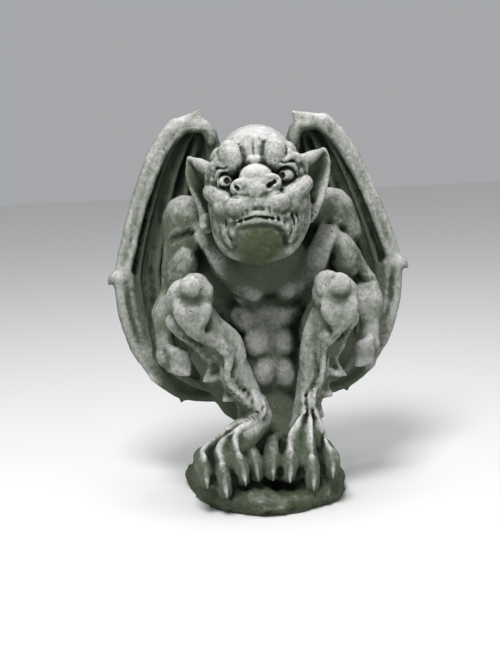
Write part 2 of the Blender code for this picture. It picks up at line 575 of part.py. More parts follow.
def sculpt():
    """The whole cast, first the masses and then the carving on them."""
    clay = bmesh.new()
    rock(clay)
    torso(clay)
    skull(clay)
    for side in SIDES:
        arm(clay, side)
        leg(clay, side)
        fin(clay, side)
        wing(clay, side)
    masses = remould(clay, BLOCK_VOXEL, 4)
    clay = bmesh.new()
    clay.from_mesh(masses)
    bpy.data.meshes.remove(masses)
    belly(clay)
    face(clay)
    for side in SIDES:
        foot(clay, side)
        ear(clay, side)
    skin = remould(clay, CARVE_VOXEL, 2)
    for side in SIDES:
        press_body(skin, side)
        press_face(skin, side)
    return skin


def thin_out(skin):
    """Bring the skin down to the wanted number of triangles."""
    skin.calc_loop_triangles()
    holder = bpy.data.objects.new("skin", skin)
    bpy.context.scene.collection.objects.link(holder)
    fewer = holder.modifiers.new("Fewer", "DECIMATE")
    fewer.ratio = TRIANGLES / len(skin.loop_triangles)
    fewer.use_collapse_triangulate = True
    seen = holder.evaluated_get(bpy.context.evaluated_depsgraph_get())
    thinned = bpy.data.meshes.new_from_object(seen)
    bpy.data.objects.remove(holder, do_unlink=True)
    return thinned


def cut_underside(skin):
    """Saw the rock off flat at the ground."""
    work = bmesh.new()
    work.from_mesh(skin)
    everything = work.verts[:] + work.edges[:] + work.faces[:]
    cut = bmesh.ops.bisect_plane(work, geom=everything, dist=0.00002, plane_co=(0, 0, 0),
                                 plane_no=(0, 0, -1), clear_outer=True)
    edges = [item for item in cut["geom_cut"] if isinstance(item, bmesh.types.BMEdge)]
    bmesh.ops.holes_fill(work, edges=edges, sides=0)
    bmesh.ops.triangulate(work, faces=[face for face in work.faces if len(face.verts) > 3])
    bmesh.ops.recalc_face_normals(work, faces=work.faces[:])
    work.to_mesh(skin)
    work.free()


def stone():
    """Weathered grey stone."""
    material = bpy.data.materials.new("stone")
    material.use_nodes = True
    shader = material.node_tree.nodes["Principled BSDF"]
    shader.inputs["Base Color"].default_value = (0.52, 0.53, 0.48, 1.0)
    shader.inputs["Roughness"].default_value = 0.9
    return material


def build():
    for item in list(bpy.data.objects):
        bpy.data.objects.remove(item, do_unlink=True)
    skin = thin_out(sculpt())
    cut_underside(skin)
    skin.name = "gargoyle"
    skin.materials.clear()
    skin.materials.append(stone())
    skin.polygons.foreach_set("use_smooth", [True] * len(skin.polygons))
    figure = bpy.data.objects.new("gargoyle", skin)
    bpy.context.scene.collection.objects.link(figure)
    return figure


build()
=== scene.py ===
import math
import bpy
import numpy as np
from mathutils import Euler, Matrix, Vector
from mathutils.bvhtree import BVHTree


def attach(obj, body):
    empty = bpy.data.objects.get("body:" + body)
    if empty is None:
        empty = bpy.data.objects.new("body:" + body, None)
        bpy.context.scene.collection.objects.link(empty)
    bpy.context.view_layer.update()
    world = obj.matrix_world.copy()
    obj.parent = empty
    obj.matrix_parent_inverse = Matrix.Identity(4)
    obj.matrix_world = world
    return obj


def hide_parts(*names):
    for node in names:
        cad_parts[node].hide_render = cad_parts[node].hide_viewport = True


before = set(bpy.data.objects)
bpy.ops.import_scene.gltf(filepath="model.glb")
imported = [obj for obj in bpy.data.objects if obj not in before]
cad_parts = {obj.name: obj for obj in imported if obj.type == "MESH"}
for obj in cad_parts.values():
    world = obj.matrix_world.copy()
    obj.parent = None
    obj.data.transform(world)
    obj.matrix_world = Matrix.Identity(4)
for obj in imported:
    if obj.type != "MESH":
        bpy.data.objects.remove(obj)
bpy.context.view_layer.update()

mm = 0.001
sides = (-1, 1)      # viewer's left, viewer's right

# the figure's own zero, seen from the middle of the rock's underside
figureSeat = Vector((0.012, 0.032, -0.014))
onBody = Matrix.Translation(figureSeat)

# joints in the figure's own millimetres, viewer's left then viewer's right
pose = {
    "hip": ((-28, 24, 122), (30, 24, 122)),
    "knee": ((-110, -106, 280), (71, -106, 274)),
    "calf": ((-67, -93, 205), (51, -93, 203)),
    "ankle": ((-28, -86, 122), (32, -86, 120)),
    "shoulder": ((-101, 4, 364), (95, 4, 365)),
    "biceps": ((-107, -18, 306), (99, -22, 314)),
    "elbow": ((-121, -6, 268), (130, -6, 273)),
    "wrist": ((-137, -42, 222), (129, -42, 220)),
    "hand": ((-134, -60, 200), (121, -62, 198)),
    "toes": ((-77, -122, 82), (22, -122, 82)),
}
head = {
    "place": (-19.4, -75.0, 398.7),
    "tilt": -10.0,       # chin forward
    "roll": -3.7,
    "turn": -9.0,        # looks to the viewer's left
    "earReach": (78, 90),
}
onHead = (onBody @ Matrix.Translation(Vector(head["place"]) * mm)
          @ Matrix.Rotation(math.radians(head["turn"]), 4, "Z")
          @ Matrix.Rotation(math.radians(head["tilt"]), 4, "X")
          @ Matrix.Rotation(math.radians(head["roll"]), 4, "Y"))


def joint(name, side):
    return Vector(pose[name][0 if side < 0 else 1])


def flip(side, *point):
    # a point given for the viewer's right, put on either side
    return Vector((point[0] * side, point[1], point[2]))


def sideSpots(side, *points):
    return [flip(side, *point) for point in points]


def trail(side, *stops):
    # each stop is a joint and the way from it
    return [start + flip(side, *way) for start, *way in stops]


# clay tools: loose lumps are gathered, then melted into one skin

clay = []
melting = {"massVoxel": 2.2, "massRubs": 4, "formVoxel": 1.3, "formRubs": 5, "triangles": 192000}


def deselectAll():
    bpy.ops.object.select_all(action="DESELECT")


def baseBall(subdivisions):
    deselectAll()
    bpy.ops.mesh.primitive_ico_sphere_add(subdivisions=subdivisions, radius=1.0)
    first = bpy.context.object
    mesh = first.data
    bpy.data.objects.remove(first, do_unlink=True)
    return mesh


roundBall = baseBall(5)
smallBall = baseBall(4)


def ball(centre, radii, turn=(0, 0, 0), on=onBody):
    if isinstance(radii, (int, float)):
        radii = (radii, radii, radii)
    shape = roundBall if max(radii) > 24 else smallBall
    lump = bpy.data.objects.new("ball", shape.copy())
    bpy.context.collection.objects.link(lump)
    angles = Euler([math.radians(value) for value in turn])
    lump.data.transform(on @ Matrix.LocRotScale(Vector(centre) * mm, angles, Vector(radii) * mm))
    clay.append(lump)


def smoothPath(points, radii, steps=6):
    points = [Vector(point) for point in points]
    ends = [points[0] * 2 - points[1]] + points + [points[-1] * 2 - points[-2]]
    path = []
    for i in range(len(points) - 1):
        a, b, c, d = ends[i:i + 4]
        for step in range(steps):
            t = step / steps
            spot = (b * 2 + (c - a) * t + (a * 2 - b * 5 + c * 4 - d) * t ** 2
                    + (b * 3 - a - c * 3 + d) * t ** 3) * 0.5
            ease = t * t * (3 - 2 * t)
            path.append((spot, radii[i] * (1 - ease) + radii[i + 1] * ease))
    path.append((points[-1], radii[-1]))
    return path


def limb(points, radii, on=onBody, steps=6):
    # a bevelled curve whose ends are rounded off
    path = smoothPath(points, radii, steps)
    first, last = path[0], path[-1]
    outFirst = (first[0] - path[1][0]).normalized()
    outLast = (last[0] - path[-2][0]).normalized()
    path = ([(first[0] + outFirst * first[1] * 0.95, first[1] * 0.3),
             (first[0] + outFirst * first[1] * 0.6, first[1] * 0.8)] + path
            + [(last[0] + outLast * last[1] * 0.6, last[1] * 0.8),
               (last[0] + outLast * last[1] * 0.95, last[1] * 0.3)])
    curve = bpy.data.curves.new("limb", "CURVE")
    curve.dimensions = "3D"
    curve.bevel_depth = mm
    curve.bevel_resolution = 4
    curve.use_fill_caps = True
    spline = curve.splines.new("POLY")
    spline.points.add(len(path) - 1)
    for point, (spot, radius) in zip(spline.points, path):
        point.co = (*(on @ (spot * mm)), 1.0)
        point.radius = radius
    lump = bpy.data.objects.new("limb", curve)
    bpy.context.collection.objects.link(lump)
    clay.append(lump)


def ringOf(centre, across, thick, turn=(0, 0, 0), on=onBody, arc=(0, 360), steps=12):
    # a bead bent round an eye or a nostril
    angles = Euler([math.radians(value) for value in turn]).to_matrix()
    points = []
    for i in range(steps + 1):
        angle = math.radians(arc[0] + (arc[1] - arc[0]) * i / steps)
        points.append(Vector(centre) + angles @ Vector((across[0] * math.cos(angle), 0,
                                                        across[1] * math.sin(angle))))
    limb(points, [thick] * len(points), on, 2)


def slab(rows, thickness, on=onBody):
    # a grid pulled through rows of points and given a thickness
    deselectAll()
    high, wide = len(rows), len(rows[0])
    bpy.ops.mesh.primitive_grid_add(x_subdivisions=wide - 1, y_subdivisions=high - 1, size=1.0)
    sheet = bpy.context.object
    spots = [on @ (Vector(spot) * mm) for row in rows for spot in row]
    sheet.data.vertices.foreach_set("co", [value for spot in spots for value in spot])
    thick = sheet.modifiers.new("thick", "SOLIDIFY")
    thick.thickness = thickness * mm
    thick.offset = 0.0
    clay.append(sheet)


def melt(voxel, rubs):
    deselectAll()
    for lump in clay:
        lump.select_set(True)
    bpy.context.view_layer.objects.active = clay[0]
    bpy.ops.object.convert(target="MESH")
    bpy.ops.object.join()
    skin = bpy.context.object
    clay.clear()
    remesh = skin.modifiers.new("melt", "REMESH")
    remesh.mode = "VOXEL"
    remesh.voxel_size = voxel * mm
    bpy.ops.object.modifier_apply(modifier=remesh.name)
    rub = skin.modifiers.new("rub", "SMOOTH")
    rub.factor = 0.5
    rub.iterations = rubs
    bpy.ops.object.modifier_apply(modifier=rub.name)
    return skin


# the masses

rock = {
    "width": 200, "depth": 262, "lip": 27,
    "square": 0.8,      # 1 is round in plan, less is squarer
    "rings": ((-0.6, 0.0), (-0.5, 0.90), (0.0, 0.93), (0.4, 0.99), (0.8, 0.97), (1.08, 0.88), (1.0, 0.0)),
}


def makeRock():
    around, rings = 60, []
    for height, spread in rock["rings"]:
        ring = []
        for k in range(around + 1):
            angle = math.tau * k / around
            rough = 1 + 0.03 * math.sin(3 * angle + 0.7) + 0.02 * math.sin(7 * angle + height * 2)
            x = math.copysign(abs(math.cos(angle)) ** rock["square"], math.cos(angle)) * rock["width"] / 2
            y = math.copysign(abs(math.sin(angle)) ** rock["square"], math.sin(angle)) * rock["depth"] / 2
            lift = 1 + 0.12 * math.sin(2 * angle + 1.3) + 0.1 * math.sin(9 * angle)
            if spread == 0.0 or height <= 0:
                lift = 1.0
            ring.append(Vector((x * spread * rough, y * spread * rough, rock["lip"] * height * lift)))
        rings.append(ring)
    deselectAll()
    bpy.ops.mesh.primitive_grid_add(x_subdivisions=around, y_subdivisions=len(rings) - 1, size=1.0)
    boulder = bpy.context.object
    boulder.data.vertices.foreach_set("co", [value * mm for ring in rings for spot in ring for value in spot])
    bpy.ops.object.mode_set(mode="EDIT")
    bpy.ops.mesh.select_all(action="SELECT")
    bpy.ops.mesh.remove_doubles(threshold=0.00005)
    bpy.ops.mesh.normals_make_consistent(inside=False)
    bpy.ops.object.mode_set(mode="OBJECT")
    clay.append(boulder)
    ball((0, 26, 52), (58, 58, 46))
    ball((2, -34, 58), (44, 44, 54))
    ball((3, -14, 100), (32, 32, 50))
    ball((-56, -92, 36), (46, 48, 34), (22, 0, 8))
    ball((28, -94, 34), (44, 48, 34), (22, 0, -8))
    ball((-52, 16, 30), (44, 58, 28))
    ball((44, 20, 28), (38, 56, 30))


def makeTorso():
    for place, size in (
            ((0, 28, 122), (48, 44, 42)), ((3, 2, 176), (44, 45, 54)), ((3, 2, 208), (47, 45, 50)),
            ((2, 4, 240), (56, 48, 52)), ((-1, 10, 296), (76, 52, 58)), ((-2, -20, 308), (56, 42, 44)),
            ((-2, 34, 338), (72, 44, 50))):
        ball(place, size)
    limb([(-80, 8, 366), (-2, 20, 376), (78, 8, 368)], [28, 38, 28])
    limb([(-4, 8, 340), (-12, -26, 374), (-17, -60, 392)], [56, 54, 46])
    for side in sides:
        # breast drawn from the shoulder to the breastbone, flank, shoulder blade down to the loin
        limb(sideSpots(side, (88, -14, 352), (72, -34, 328), (50, -44, 298), (22, -36, 276)),
             [16, 15, 17, 18])
        limb(sideSpots(side, (70, 22, 346), (64, 16, 306), (50, 10, 258)), [30, 27, 22])
        limb(sideSpots(side, (42, 58, 372), (48, 62, 330), (34, 54, 270), (24, 46, 190)), [24, 26, 24, 26])


def faceSpot(side, x, y, z):
    # the face is a little narrower on the viewer's left
    if side < 0:
        x -= 6 * min(1, max(0, (x - 30) / 24))
    return flip(side, x, y, z)


def faceSpots(side, *points):
    return [faceSpot(side, *point) for point in points]


def makeSkull():
    for place, size in (
            ((4, 12, 34), (50, 58, 54)), ((0, 6, -4), (54, 44, 52)), ((0, 22, -24), (50, 46, 46)),
            ((0, -44, -8), (26, 28, 26))):
        ball(place, size, on=onHead)
    ball((-2, -42, -50), (32, 24, 40), (27, 0, 0), onHead)
    for side in sides:
        ball(faceSpot(side, 38, -22, 12), (19, 17, 22), on=onHead)
        ball(faceSpot(side, 38, -24, -32), (20, 24, 35), (0, 10 * side, 0), onHead)
        ball(faceSpot(side, 38, -26, 42), (17, 19, 18), on=onHead)
        limb([faceSpot(side, 54, -14, -6), faceSpot(side, 53, -14, -32), flip(side, 43, -22, -54),
              flip(side, 30, -30, -68), flip(side, 10, -34, -75)], [12, 12, 12, 12, 12], onHead)


def makeArm(side):
    shoulder, biceps, elbow = joint("shoulder", side), joint("biceps", side), joint("elbow", side)
    wrist, hand = joint("wrist", side), joint("hand", side)
    middle = elbow * 0.5 + wrist * 0.5
    drop = 3 if side < 0 else 10
    limb(trail(side, (shoulder, -2, 0, 4), (shoulder, drop, -6, -24)), [29, 25])
    limb(trail(side, (shoulder, 4, 6, -20), (biceps, 8, 14, 0), (elbow, 0, 0, 0)), [22, 18, 16])
    ball(biceps + Vector((2 * side, -4, -2)), (19, 20, 33), (12, -20 * side, 0))
    ball(elbow + Vector((0, 6, 0)), (15, 14, 15))
    limb(trail(side, (elbow, 0, -3, 2), (middle, 4, -4, 4), (wrist, 0, 0, 0)), [17, 18, 12])
    limb(trail(side, (elbow, -8, -12, -4), (middle, -8, -10, 6), (wrist, -3, -3, 4)), [10, 13, 9])
    ball(hand, (15, 20, 15), (20, 0, -30 * side))
    limb([wrist, hand], [12, 14])
    for finger in range(4):
        root = hand + Vector((0, -8, 12 - 8 * finger))
        limb([root, root + Vector((-5 * side, -18, 0)), root + Vector((-18 * side, -22, -3)),
              root + Vector((-24 * side, -16, -7))], [6.5, 6.5, 5.5, 2.5])


def makeLeg(side):
    hip, knee, calf, ankle = (joint(name, side) for name in ("hip", "knee", "calf", "ankle"))
    limb([hip, hip * 0.5 + knee * 0.5 + Vector((9 * side, 14, 6)), knee + Vector((0, 18, -8))], [34, 31, 25])
    ball(knee + Vector((0, 3, 0)), (29, 25, 26))
    # thigh muscle ending beside the cap, then the cap
    limb(trail(side, (knee, -8, 10, 14), (knee, -14, -12, 10)), [17, 14])
    ball(knee + Vector((0, -19, 16)), (15, 12, 15))
    # heart-shaped head of the shin with its crest
    for edge in sides:
        limb(trail(edge, (knee, 14.5, -16, -10), (knee, 9, -17, -24), (knee, 0, -15, -38)), [12, 11, 9])
    ball(knee + Vector((0, -17, -14)), (15, 11, 14))
    limb(trail(side, (knee, 0, -15, -34), (calf, 2, -12, 6), (calf, -1, -10, -30), (ankle, 0, -9, 6)),
         [11, 10, 9, 8])
    limb(trail(side, (knee, 0, 6, -14), (calf, 0, 6, 0), (ankle, 0, 0, 0)), [24, 21, 17])
    # inner and outer calf
    limb(trail(side, (knee, -22, 14, -26), (calf, -9, 2, 16), (calf, -12, 0, -10), (calf, -13, 2, -36),
               (ankle, -3, 0, 14)), [10, 13, 14, 13, 12])
    limb(trail(side, (knee, 18, 8, -30), (calf, 14, 6, -2), (ankle, 8, 2, 8)), [13, 14, 10])


# thorned web outside each calf: share down the shin, reach, 1 at a thorn
finOutline = ((0.20, 16, 0), (0.31, 24, 0), (0.42, 31, 0), (0.47, 27, 0), (0.55, 24, 0), (0.64, 40, 1),
              (0.69, 21, 0), (0.75, 20, 0), (0.81, 29, 1), (0.86, 17, 0), (0.92, 17, 0), (0.98, 24, 1),
              (1.04, 12, 0))


def makeFin(side):
    knee, ankle = joint("knee", side), joint("ankle", side)
    rows = []
    for share, reach, thorn in finOutline:
        root = knee.lerp(ankle, share)
        end = root + Vector((reach * side, 0, -7 * thorn))
        rows.append([root.lerp(end, k / 6) + Vector((0, 5 * math.sin(math.pi * k / 6), 0)) for k in range(7)])
        if thorn:
            limb([root + Vector((8 * side, -6, 4)), root.lerp(end, 0.6) + Vector((0, -3, 2)), end],
                 [8, 5, 1.6])
    slab(rows, 7)


def wingEdge(side):
    lean = -8 if side < 0 else 0
    return [flip(side, *spot) + Vector((lean * max(0, spot[2] - 330) / 160, 0, 0)) for spot in (
        (66, 47, 486), (92, 48, 484), (122, 46, 452), (153, 41, 389), (177, 34, 322),
        (184, 31, 290), (180, 30, 246), (168, 29, 200), (148, 26, 158))]


def wingRoot(side):
    return [flip(side, *spot) for spot in (
        (56, 52, 472), (51, 56, 444), (48, 66, 400), (44, 70, 360), (46, 70, 320),
        (50, 62, 280), (52, 48, 230), (54, 28, 180), (58, 12, 132))]


def wingRows(side, steps=4, across=16):
    outer = [spot for spot, _ in smoothPath(wingEdge(side), [1] * 9, steps)]
    inner = [spot for spot, _ in smoothPath(wingRoot(side), [1] * 9, steps)]
    rows = []
    for i, (near, far) in enumerate(zip(inner, outer)):
        down = i / (len(outer) - 1)
        cup = 20 * math.sin(math.pi * min(1, down * 1.15 + 0.08)) + 4
        droop = 14 * max(0, down - 0.8) * 5
        rows.append([near.lerp(far, j / across) + Vector((0, cup, -droop)) * math.sin(math.pi * j / across)
                     for j in range(across + 1)])
    return rows


def makeWing(side):
    rows = wingRows(side)
    edge, root = wingEdge(side), wingRoot(side)
    slab(rows, 8)
    # the leading bone forks into two branches that meet at the wrist knob, the lower one has three ridges
    limb([spot + Vector((2 * side, 0, 0)) for spot in edge[1:6]], [9, 7.5, 6.5, 6, 6.5])
    limb([edge[1] + Vector((-6 * side, -4, -5)), edge[2] + Vector((-9 * side, -4, -4)),
          edge[3] + Vector((-10 * side, -4, -2)), edge[4] + Vector((-11 * side, -4, 0)),
          edge[5] + Vector((-8 * side, -3, 4))], [8, 6, 4.5, 4.5, 5.5])
    limb(edge[5:], [9, 9, 8, 4])
    limb([spot + Vector((-13 * side, -2, 2)) for spot in edge[5:]], [7, 6.5, 6, 3])
    limb([spot + Vector((-24 * side, 4, 0)) for spot in edge[5:8]], [4, 5, 3])
    limb(root[:5], [9, 11, 13, 16, 18])
    # scalloped lower rim and the ledge inside it
    limb([rows[-1][j] + Vector((0, -3, 0)) for j in (0, 5, 10, 16)], [7, 6, 6, 5])
    limb([rows[-1][9], rows[-1][9] + Vector((4 * side, -2, -12))], [6, 1.6])
    limb(sideSpots(side, (136, 16, 180), (104, 0, 158), (68, -8, 142)), [5, 7, 6])
    # ridges of the skin, drawn together under the tip
    for column, start, stop, thick in ((13, 4, 29, 3.6), (10, 3, 29, 4.5), (7, 3, 31, 4.5), (4, 6, 31, 4)):
        ridge = [rows[i][column] + Vector((0, -9 if i > 6 else -6, 0)) for i in range(start, stop, 4)]
        limb(ridge, [thick * 0.7] + [thick] * (len(ridge) - 2) + [2.5])
    # pointed tip, with the corner facet folded down inside it
    tip = Vector((-71, 46, 500)) if side < 0 else Vector((53, 46, 494))
    inner = Vector((-63, 46, 480)) if side < 0 else Vector((58, 46, 476))
    crest = edge[1].lerp(edge[2], 0.1)
    for k in range(7):
        share = k / 6
        limb([crest.lerp(inner, share * 0.8), tip.lerp(inner, share * 0.5)], [9, 3.4])
    limb(trail(side, (inner, 2, 0, 4), (inner, -5, -4, -12), (inner, -6, -4, -20)), [7, 8, 7])
    ball(edge[5], (11, 11, 14))
    limb([edge[5] + Vector((0, 0, 4)), edge[5] + Vector((9 * side, -2, 2)),
          edge[5] + Vector((14 * side, -3, -5))], [8, 6.5, 3.5])


# the forms laid on the masses

bellyLobes = (      # across, height, half width, half height, lean
    (26, 266, 20, 12, -12), (-25, 265, 18, 12, 12), (-28, 239, 19, 19, 34), (20, 241, 23, 16, -4),
    (-15, 208, 17, 21, 6), (17, 208, 16, 20, -4), (-9, 170, 13.5, 20, 3), (16, 168, 13, 21, -3))


def makeBelly():
    for x, height, wide, tall, lean in bellyLobes:
        across = min(0.95, abs(x - 3) / 52)
        deep = 11 - 45 * math.sqrt(1 - across ** 2)
        ball((x, deep, height), (wide * 1.17, 14.5, tall * 1.12), (0, lean, 0))


def makeFace():
    # one broad mass for the nose, from the bridge to the lip
    for place, size in (
            ((1, -56, 15.5), (21, 18, 17)), ((0, -61, 8), (27, 15.5, 12)), ((0, -65.5, 0), (17, 14.5, 14)),
            ((0, -63, -13), (25, 14, 14)), ((0, -65, -23), (15, 9, 8)), ((1, -42, 50), (17, 9, 22)),
            ((1, -45, 36), (14, 8, 12))):
        ball(place, size, on=onHead)
    for side in sides:
        # bulging brow, temple and the ridge out over the eye
        ball(flip(side, 26, -43, 43), (15.5, 16.5, 23), (-8, 8 * side, 0), onHead)
        ball(faceSpot(side, 42, -31, 45), (12, 13, 14), on=onHead)
        ball(faceSpot(side, 38, -40, 40), (13, 11, 11), on=onHead)
        ball(faceSpot(side, 48, -39, 34), (9, 8, 7), on=onHead)
        ball(faceSpot(side, 52, -28, 22), (9, 10, 14), on=onHead)
        limb(faceSpots(side, (32, -51, 31), (38, -49, 35), (47, -43, 38), (56, -35, 35), (61, -26, 25),
                       (60, -22, 14)), [5, 5.5, 6, 6, 5.5, 4.5], onHead)
        # eyeball, heavy upper lid, pouches
        ball(faceSpot(side, 37, -42.5, 15.5), 10, on=onHead)
        limb(faceSpots(side, (27, -49, 24.5), (33, -51.5, 29), (42, -49, 29.5), (49, -42, 24), (51, -37, 16)),
             [2.4, 3.4, 3.4, 3, 2], onHead)
        ball(faceSpot(side, 44, -36, 29), (12, 8, 7), on=onHead)
        ringOf(faceSpot(side, 38, -40, 12), (14, 12.5), 2.2, (0, 0, -22 * side), onHead, (195, 345))
        ringOf(faceSpot(side, 39, -38, 9), (18, 15.5), 2.6, (0, 0, -24 * side), onHead, (205, 340))
        ball(faceSpot(side, 42, -37, 0), (17, 11, 11), on=onHead)
        # cheek roll, with flesh between it and the muzzle
        limb([flip(side, 28, -60, -15), faceSpot(side, 46, -47, -6), faceSpot(side, 58, -29, 5),
              faceSpot(side, 57, -2, 9)], [11, 12.5, 12, 11], onHead)
        ball(flip(side, 34, -47, -14), (20, 18, 17), on=onHead)
        ball(faceSpot(side, 44, -36, -16), (17, 16, 17), on=onHead)
        # small hooded nostril, standing off the side of the nose
        high = 10 if side < 0 else 12.5
        limb(sideSpots(side, (10, -68, high + 1), (18, -69, high + 1.5), (25, -66, high), (28, -63.5, 5.5),
                       (25, -66, -1), (12, -72, -3)), [5, 4.2, 3.4, 3, 3.2, 3.6], onHead)
        ball(flip(side, 18, -62.5, 5), (13, 10.5, 9.5), on=onHead)
        # muzzle pad and the soft corner of the mouth
        ball(flip(side, 19, -62.5, -17), (21, 16.5, 14), on=onHead)
        ball(flip(side, 31, -54, -30), (8, 9, 8), on=onHead)
        ball(flip(side, 34, -50, -35), (5, 5.5, 5), on=onHead)
        ball(flip(side, 31, -51, -44), (7, 8, 10), on=onHead)
        ball(flip(side, 37, -41, -44), (10, 10, 22), (0, 12 * side, 0), onHead)
    limb([(-30, -58, -31), (-16, -69, -30), (-3, -73.5, -28.5), (14, -70.5, -30.5), (31, -58, -33)],
         [4, 4.2, 4.2, 4.2, 4], onHead)
    limb([(-33, -47, -50), (-28, -57, -41.5), (-18, -66, -37.5), (-4, -72, -36.5), (12, -69, -38.5),
          (25, -60, -43), (33, -48, -53)], [4, 4, 4, 4, 4, 4, 4], onHead)
    for across, height in ((-25, -33.5), (-18, -33.5), (12, -34), (19, -35), (26, -37)):
        near = abs(across) * 0.3
        limb([(across, -69.5 + near, height), (across, -71.5 + near, height - 6)], [3.6, 2.2], onHead)


def makeEar(side):
    reach = head["earReach"][0 if side < 0 else 1]
    rise = 56 if side < 0 else 50
    top, tip = faceSpot(side, 52, -10, 31), flip(side, reach, 22, rise)
    outer, lobe = flip(side, reach + 1, 22, 18), flip(side, 66, 2, -31)
    deep = flip(side, 54, 40, 6)
    steps = 12
    rimTop = [spot for spot, _ in smoothPath([top, tip], [1, 1], steps)]
    rimLow = [spot for spot, _ in smoothPath([lobe, outer, tip], [1, 1, 1], steps // 2)]
    rows = []
    for i, (high, low) in enumerate(zip(rimTop, rimLow)):
        sag = (deep - high.lerp(low, 0.5)) * 0.85 * (1 - i / steps) ** 0.7
        rows.append([high.lerp(low, k / steps) + sag * math.sin(math.pi * k / steps)
                     for k in range(steps + 1)])
    slab(rows, 5, onHead)
    limb([top, top.lerp(tip, 0.5) + Vector((0, -2, -1)), tip], [10.5, 8, 3.2], onHead)
    limb([tip, flip(side, reach + 4, 23, 38), outer, flip(side, reach - 9, 14, -8), lobe],
         [3, 3, 3.2, 4.5, 7.5], onHead)
    ball(flip(side, 50, 16, 6), (12, 22, 38), (0, 8 * side, 0), onHead)
    ball(lobe + Vector((-3 * side, 2, 3)), (9, 8, 13), on=onHead)


footOutward = Vector((0, -0.64, 0.77)).normalized()      # the way the back of a foot faces
toeForms = (      # knuckle, second joint and claw tip, from the foot's own joint, inner toe first
    ((-34, 14, 14), (-39, -3, 2), (-44, -24, -27)),
    ((-15, 10, 12), (-19, -8, -1), (-24, -30, -29)),
    ((8, 8, 5), (7, -10, -10), (5, -34, -43)),
    ((28, 14, 6), (32, -2, -4), (31, -24, -30)),
)


def toeSpread(side):
    return 0.84 if side < 0 else 1.0


def onFoot(side, spot):
    return joint("toes", side) + flip(side, spot[0] * toeSpread(side), spot[1], spot[2])


def makeFoot(side):
    ankle, toes = joint("ankle", side), joint("toes", side)
    limb([ankle + Vector((0, 4, 16)), ankle + Vector((0, 0, -4)), ankle * 0.45 + toes * 0.55,
          toes + Vector((-2 * side, 12, -8))], [14, 18, 22, 27])
    ball(toes + Vector((-5 * side, 10, -18)), (43 * toeSpread(side), 28, 27), (18, 0, 0))
    # flesh on the inner side, up against the stone between the feet
    ball(toes + Vector((-26 * side, 34, -4)), (18, 18, 22))
    ball(toes + Vector((-30 * side, 18, -12)), (17, 17, 20))
    for toe, form in enumerate(toeForms):
        knuckle, second, tip = (onFoot(side, spot) for spot in form)
        along = tip - second
        if toe:
            limb([ankle + Vector(((knuckle - toes).x * 0.36, -14, 8)), knuckle + Vector((0, -1, 0))],
                 [4.5, 4.5])
            ball(knuckle, (7.5, 8, 6.5))
            limb([knuckle, second], [5.5, 5.5])
        limb(trail(side, (knuckle, 0, 6, -4), (second, 0, 3, 0)), [8, 8])
        ball(second, (9.5, 8.5, 8))
        # thick flesh under the joint, then the claw laid down its front
        limb([knuckle + Vector((0, 8, -8)), second + Vector((0, 1, -6)),
              second + along * 0.5 + Vector((0, 4, 2)), second + along * 0.85 + Vector((0, 8, 2))],
             [13, 13, 12, 9.5])
        limb([second + Vector((0, -5, 2)), second + along * 0.3 + Vector((0, -7, 4)),
              second + along * 0.65 + Vector((0, -5, 3)), tip], [4.5, 3.8, 3.4, 1.8])


def blockOut():
    makeRock()
    makeTorso()
    makeSkull()
    for side in sides:
        makeArm(side)
        makeLeg(side)
        makeFin(side)
        makeWing(side)
    return melt(melting["massVoxel"], melting["massRubs"])


def layForms(masses):
    clay.append(masses)
    makeBelly()
    makeFace()
    for side in sides:
        makeFoot(side)
        makeEar(side)
    return melt(melting["formVoxel"], melting["formRubs"])


# strokes: vertices near a line are pushed in or out along their normals

def linePath(points, steps):
    return np.array([spot for spot, _ in smoothPath(points, [1] * len(points), steps)], np.float32)


def nearLine(spots, path, reach, through=None):
    # which points are near a line, and how far each is from every step of it
    if through is not None:     # the line is laid on the skin from outside, along this way
        reach += 14
    low, high = path.min(0) - reach, path.max(0) + reach
    near = np.flatnonzero(np.all((spots > low) & (spots < high), axis=1))
    away = spots[near][:, None, :] - path[None]
    if through is not None:
        way = np.array(through, np.float32)
        away -= (away @ way)[:, :, None] * way
    return near, np.linalg.norm(away, axis=2)


class Neighbours:
    # the points that each point shares an edge with
    def __init__(self, mesh):
        edges = np.empty(len(mesh.edges) * 2, np.int64)
        mesh.edges.foreach_get("vertices", edges)
        self.a, self.b = edges.reshape(-1, 2).T
        self.count = len(mesh.vertices)
        self.number = np.maximum(self.gather(None, None), 1)

    def gather(self, toA, toB):
        return (np.bincount(self.a, toA, self.count) + np.bincount(self.b, toB, self.count))

    def mean(self, values):
        return self.gather(values[self.b], values[self.a]) / self.number

    def means(self, spots):
        return np.stack([self.mean(spots[:, k]) for k in range(3)], axis=1)


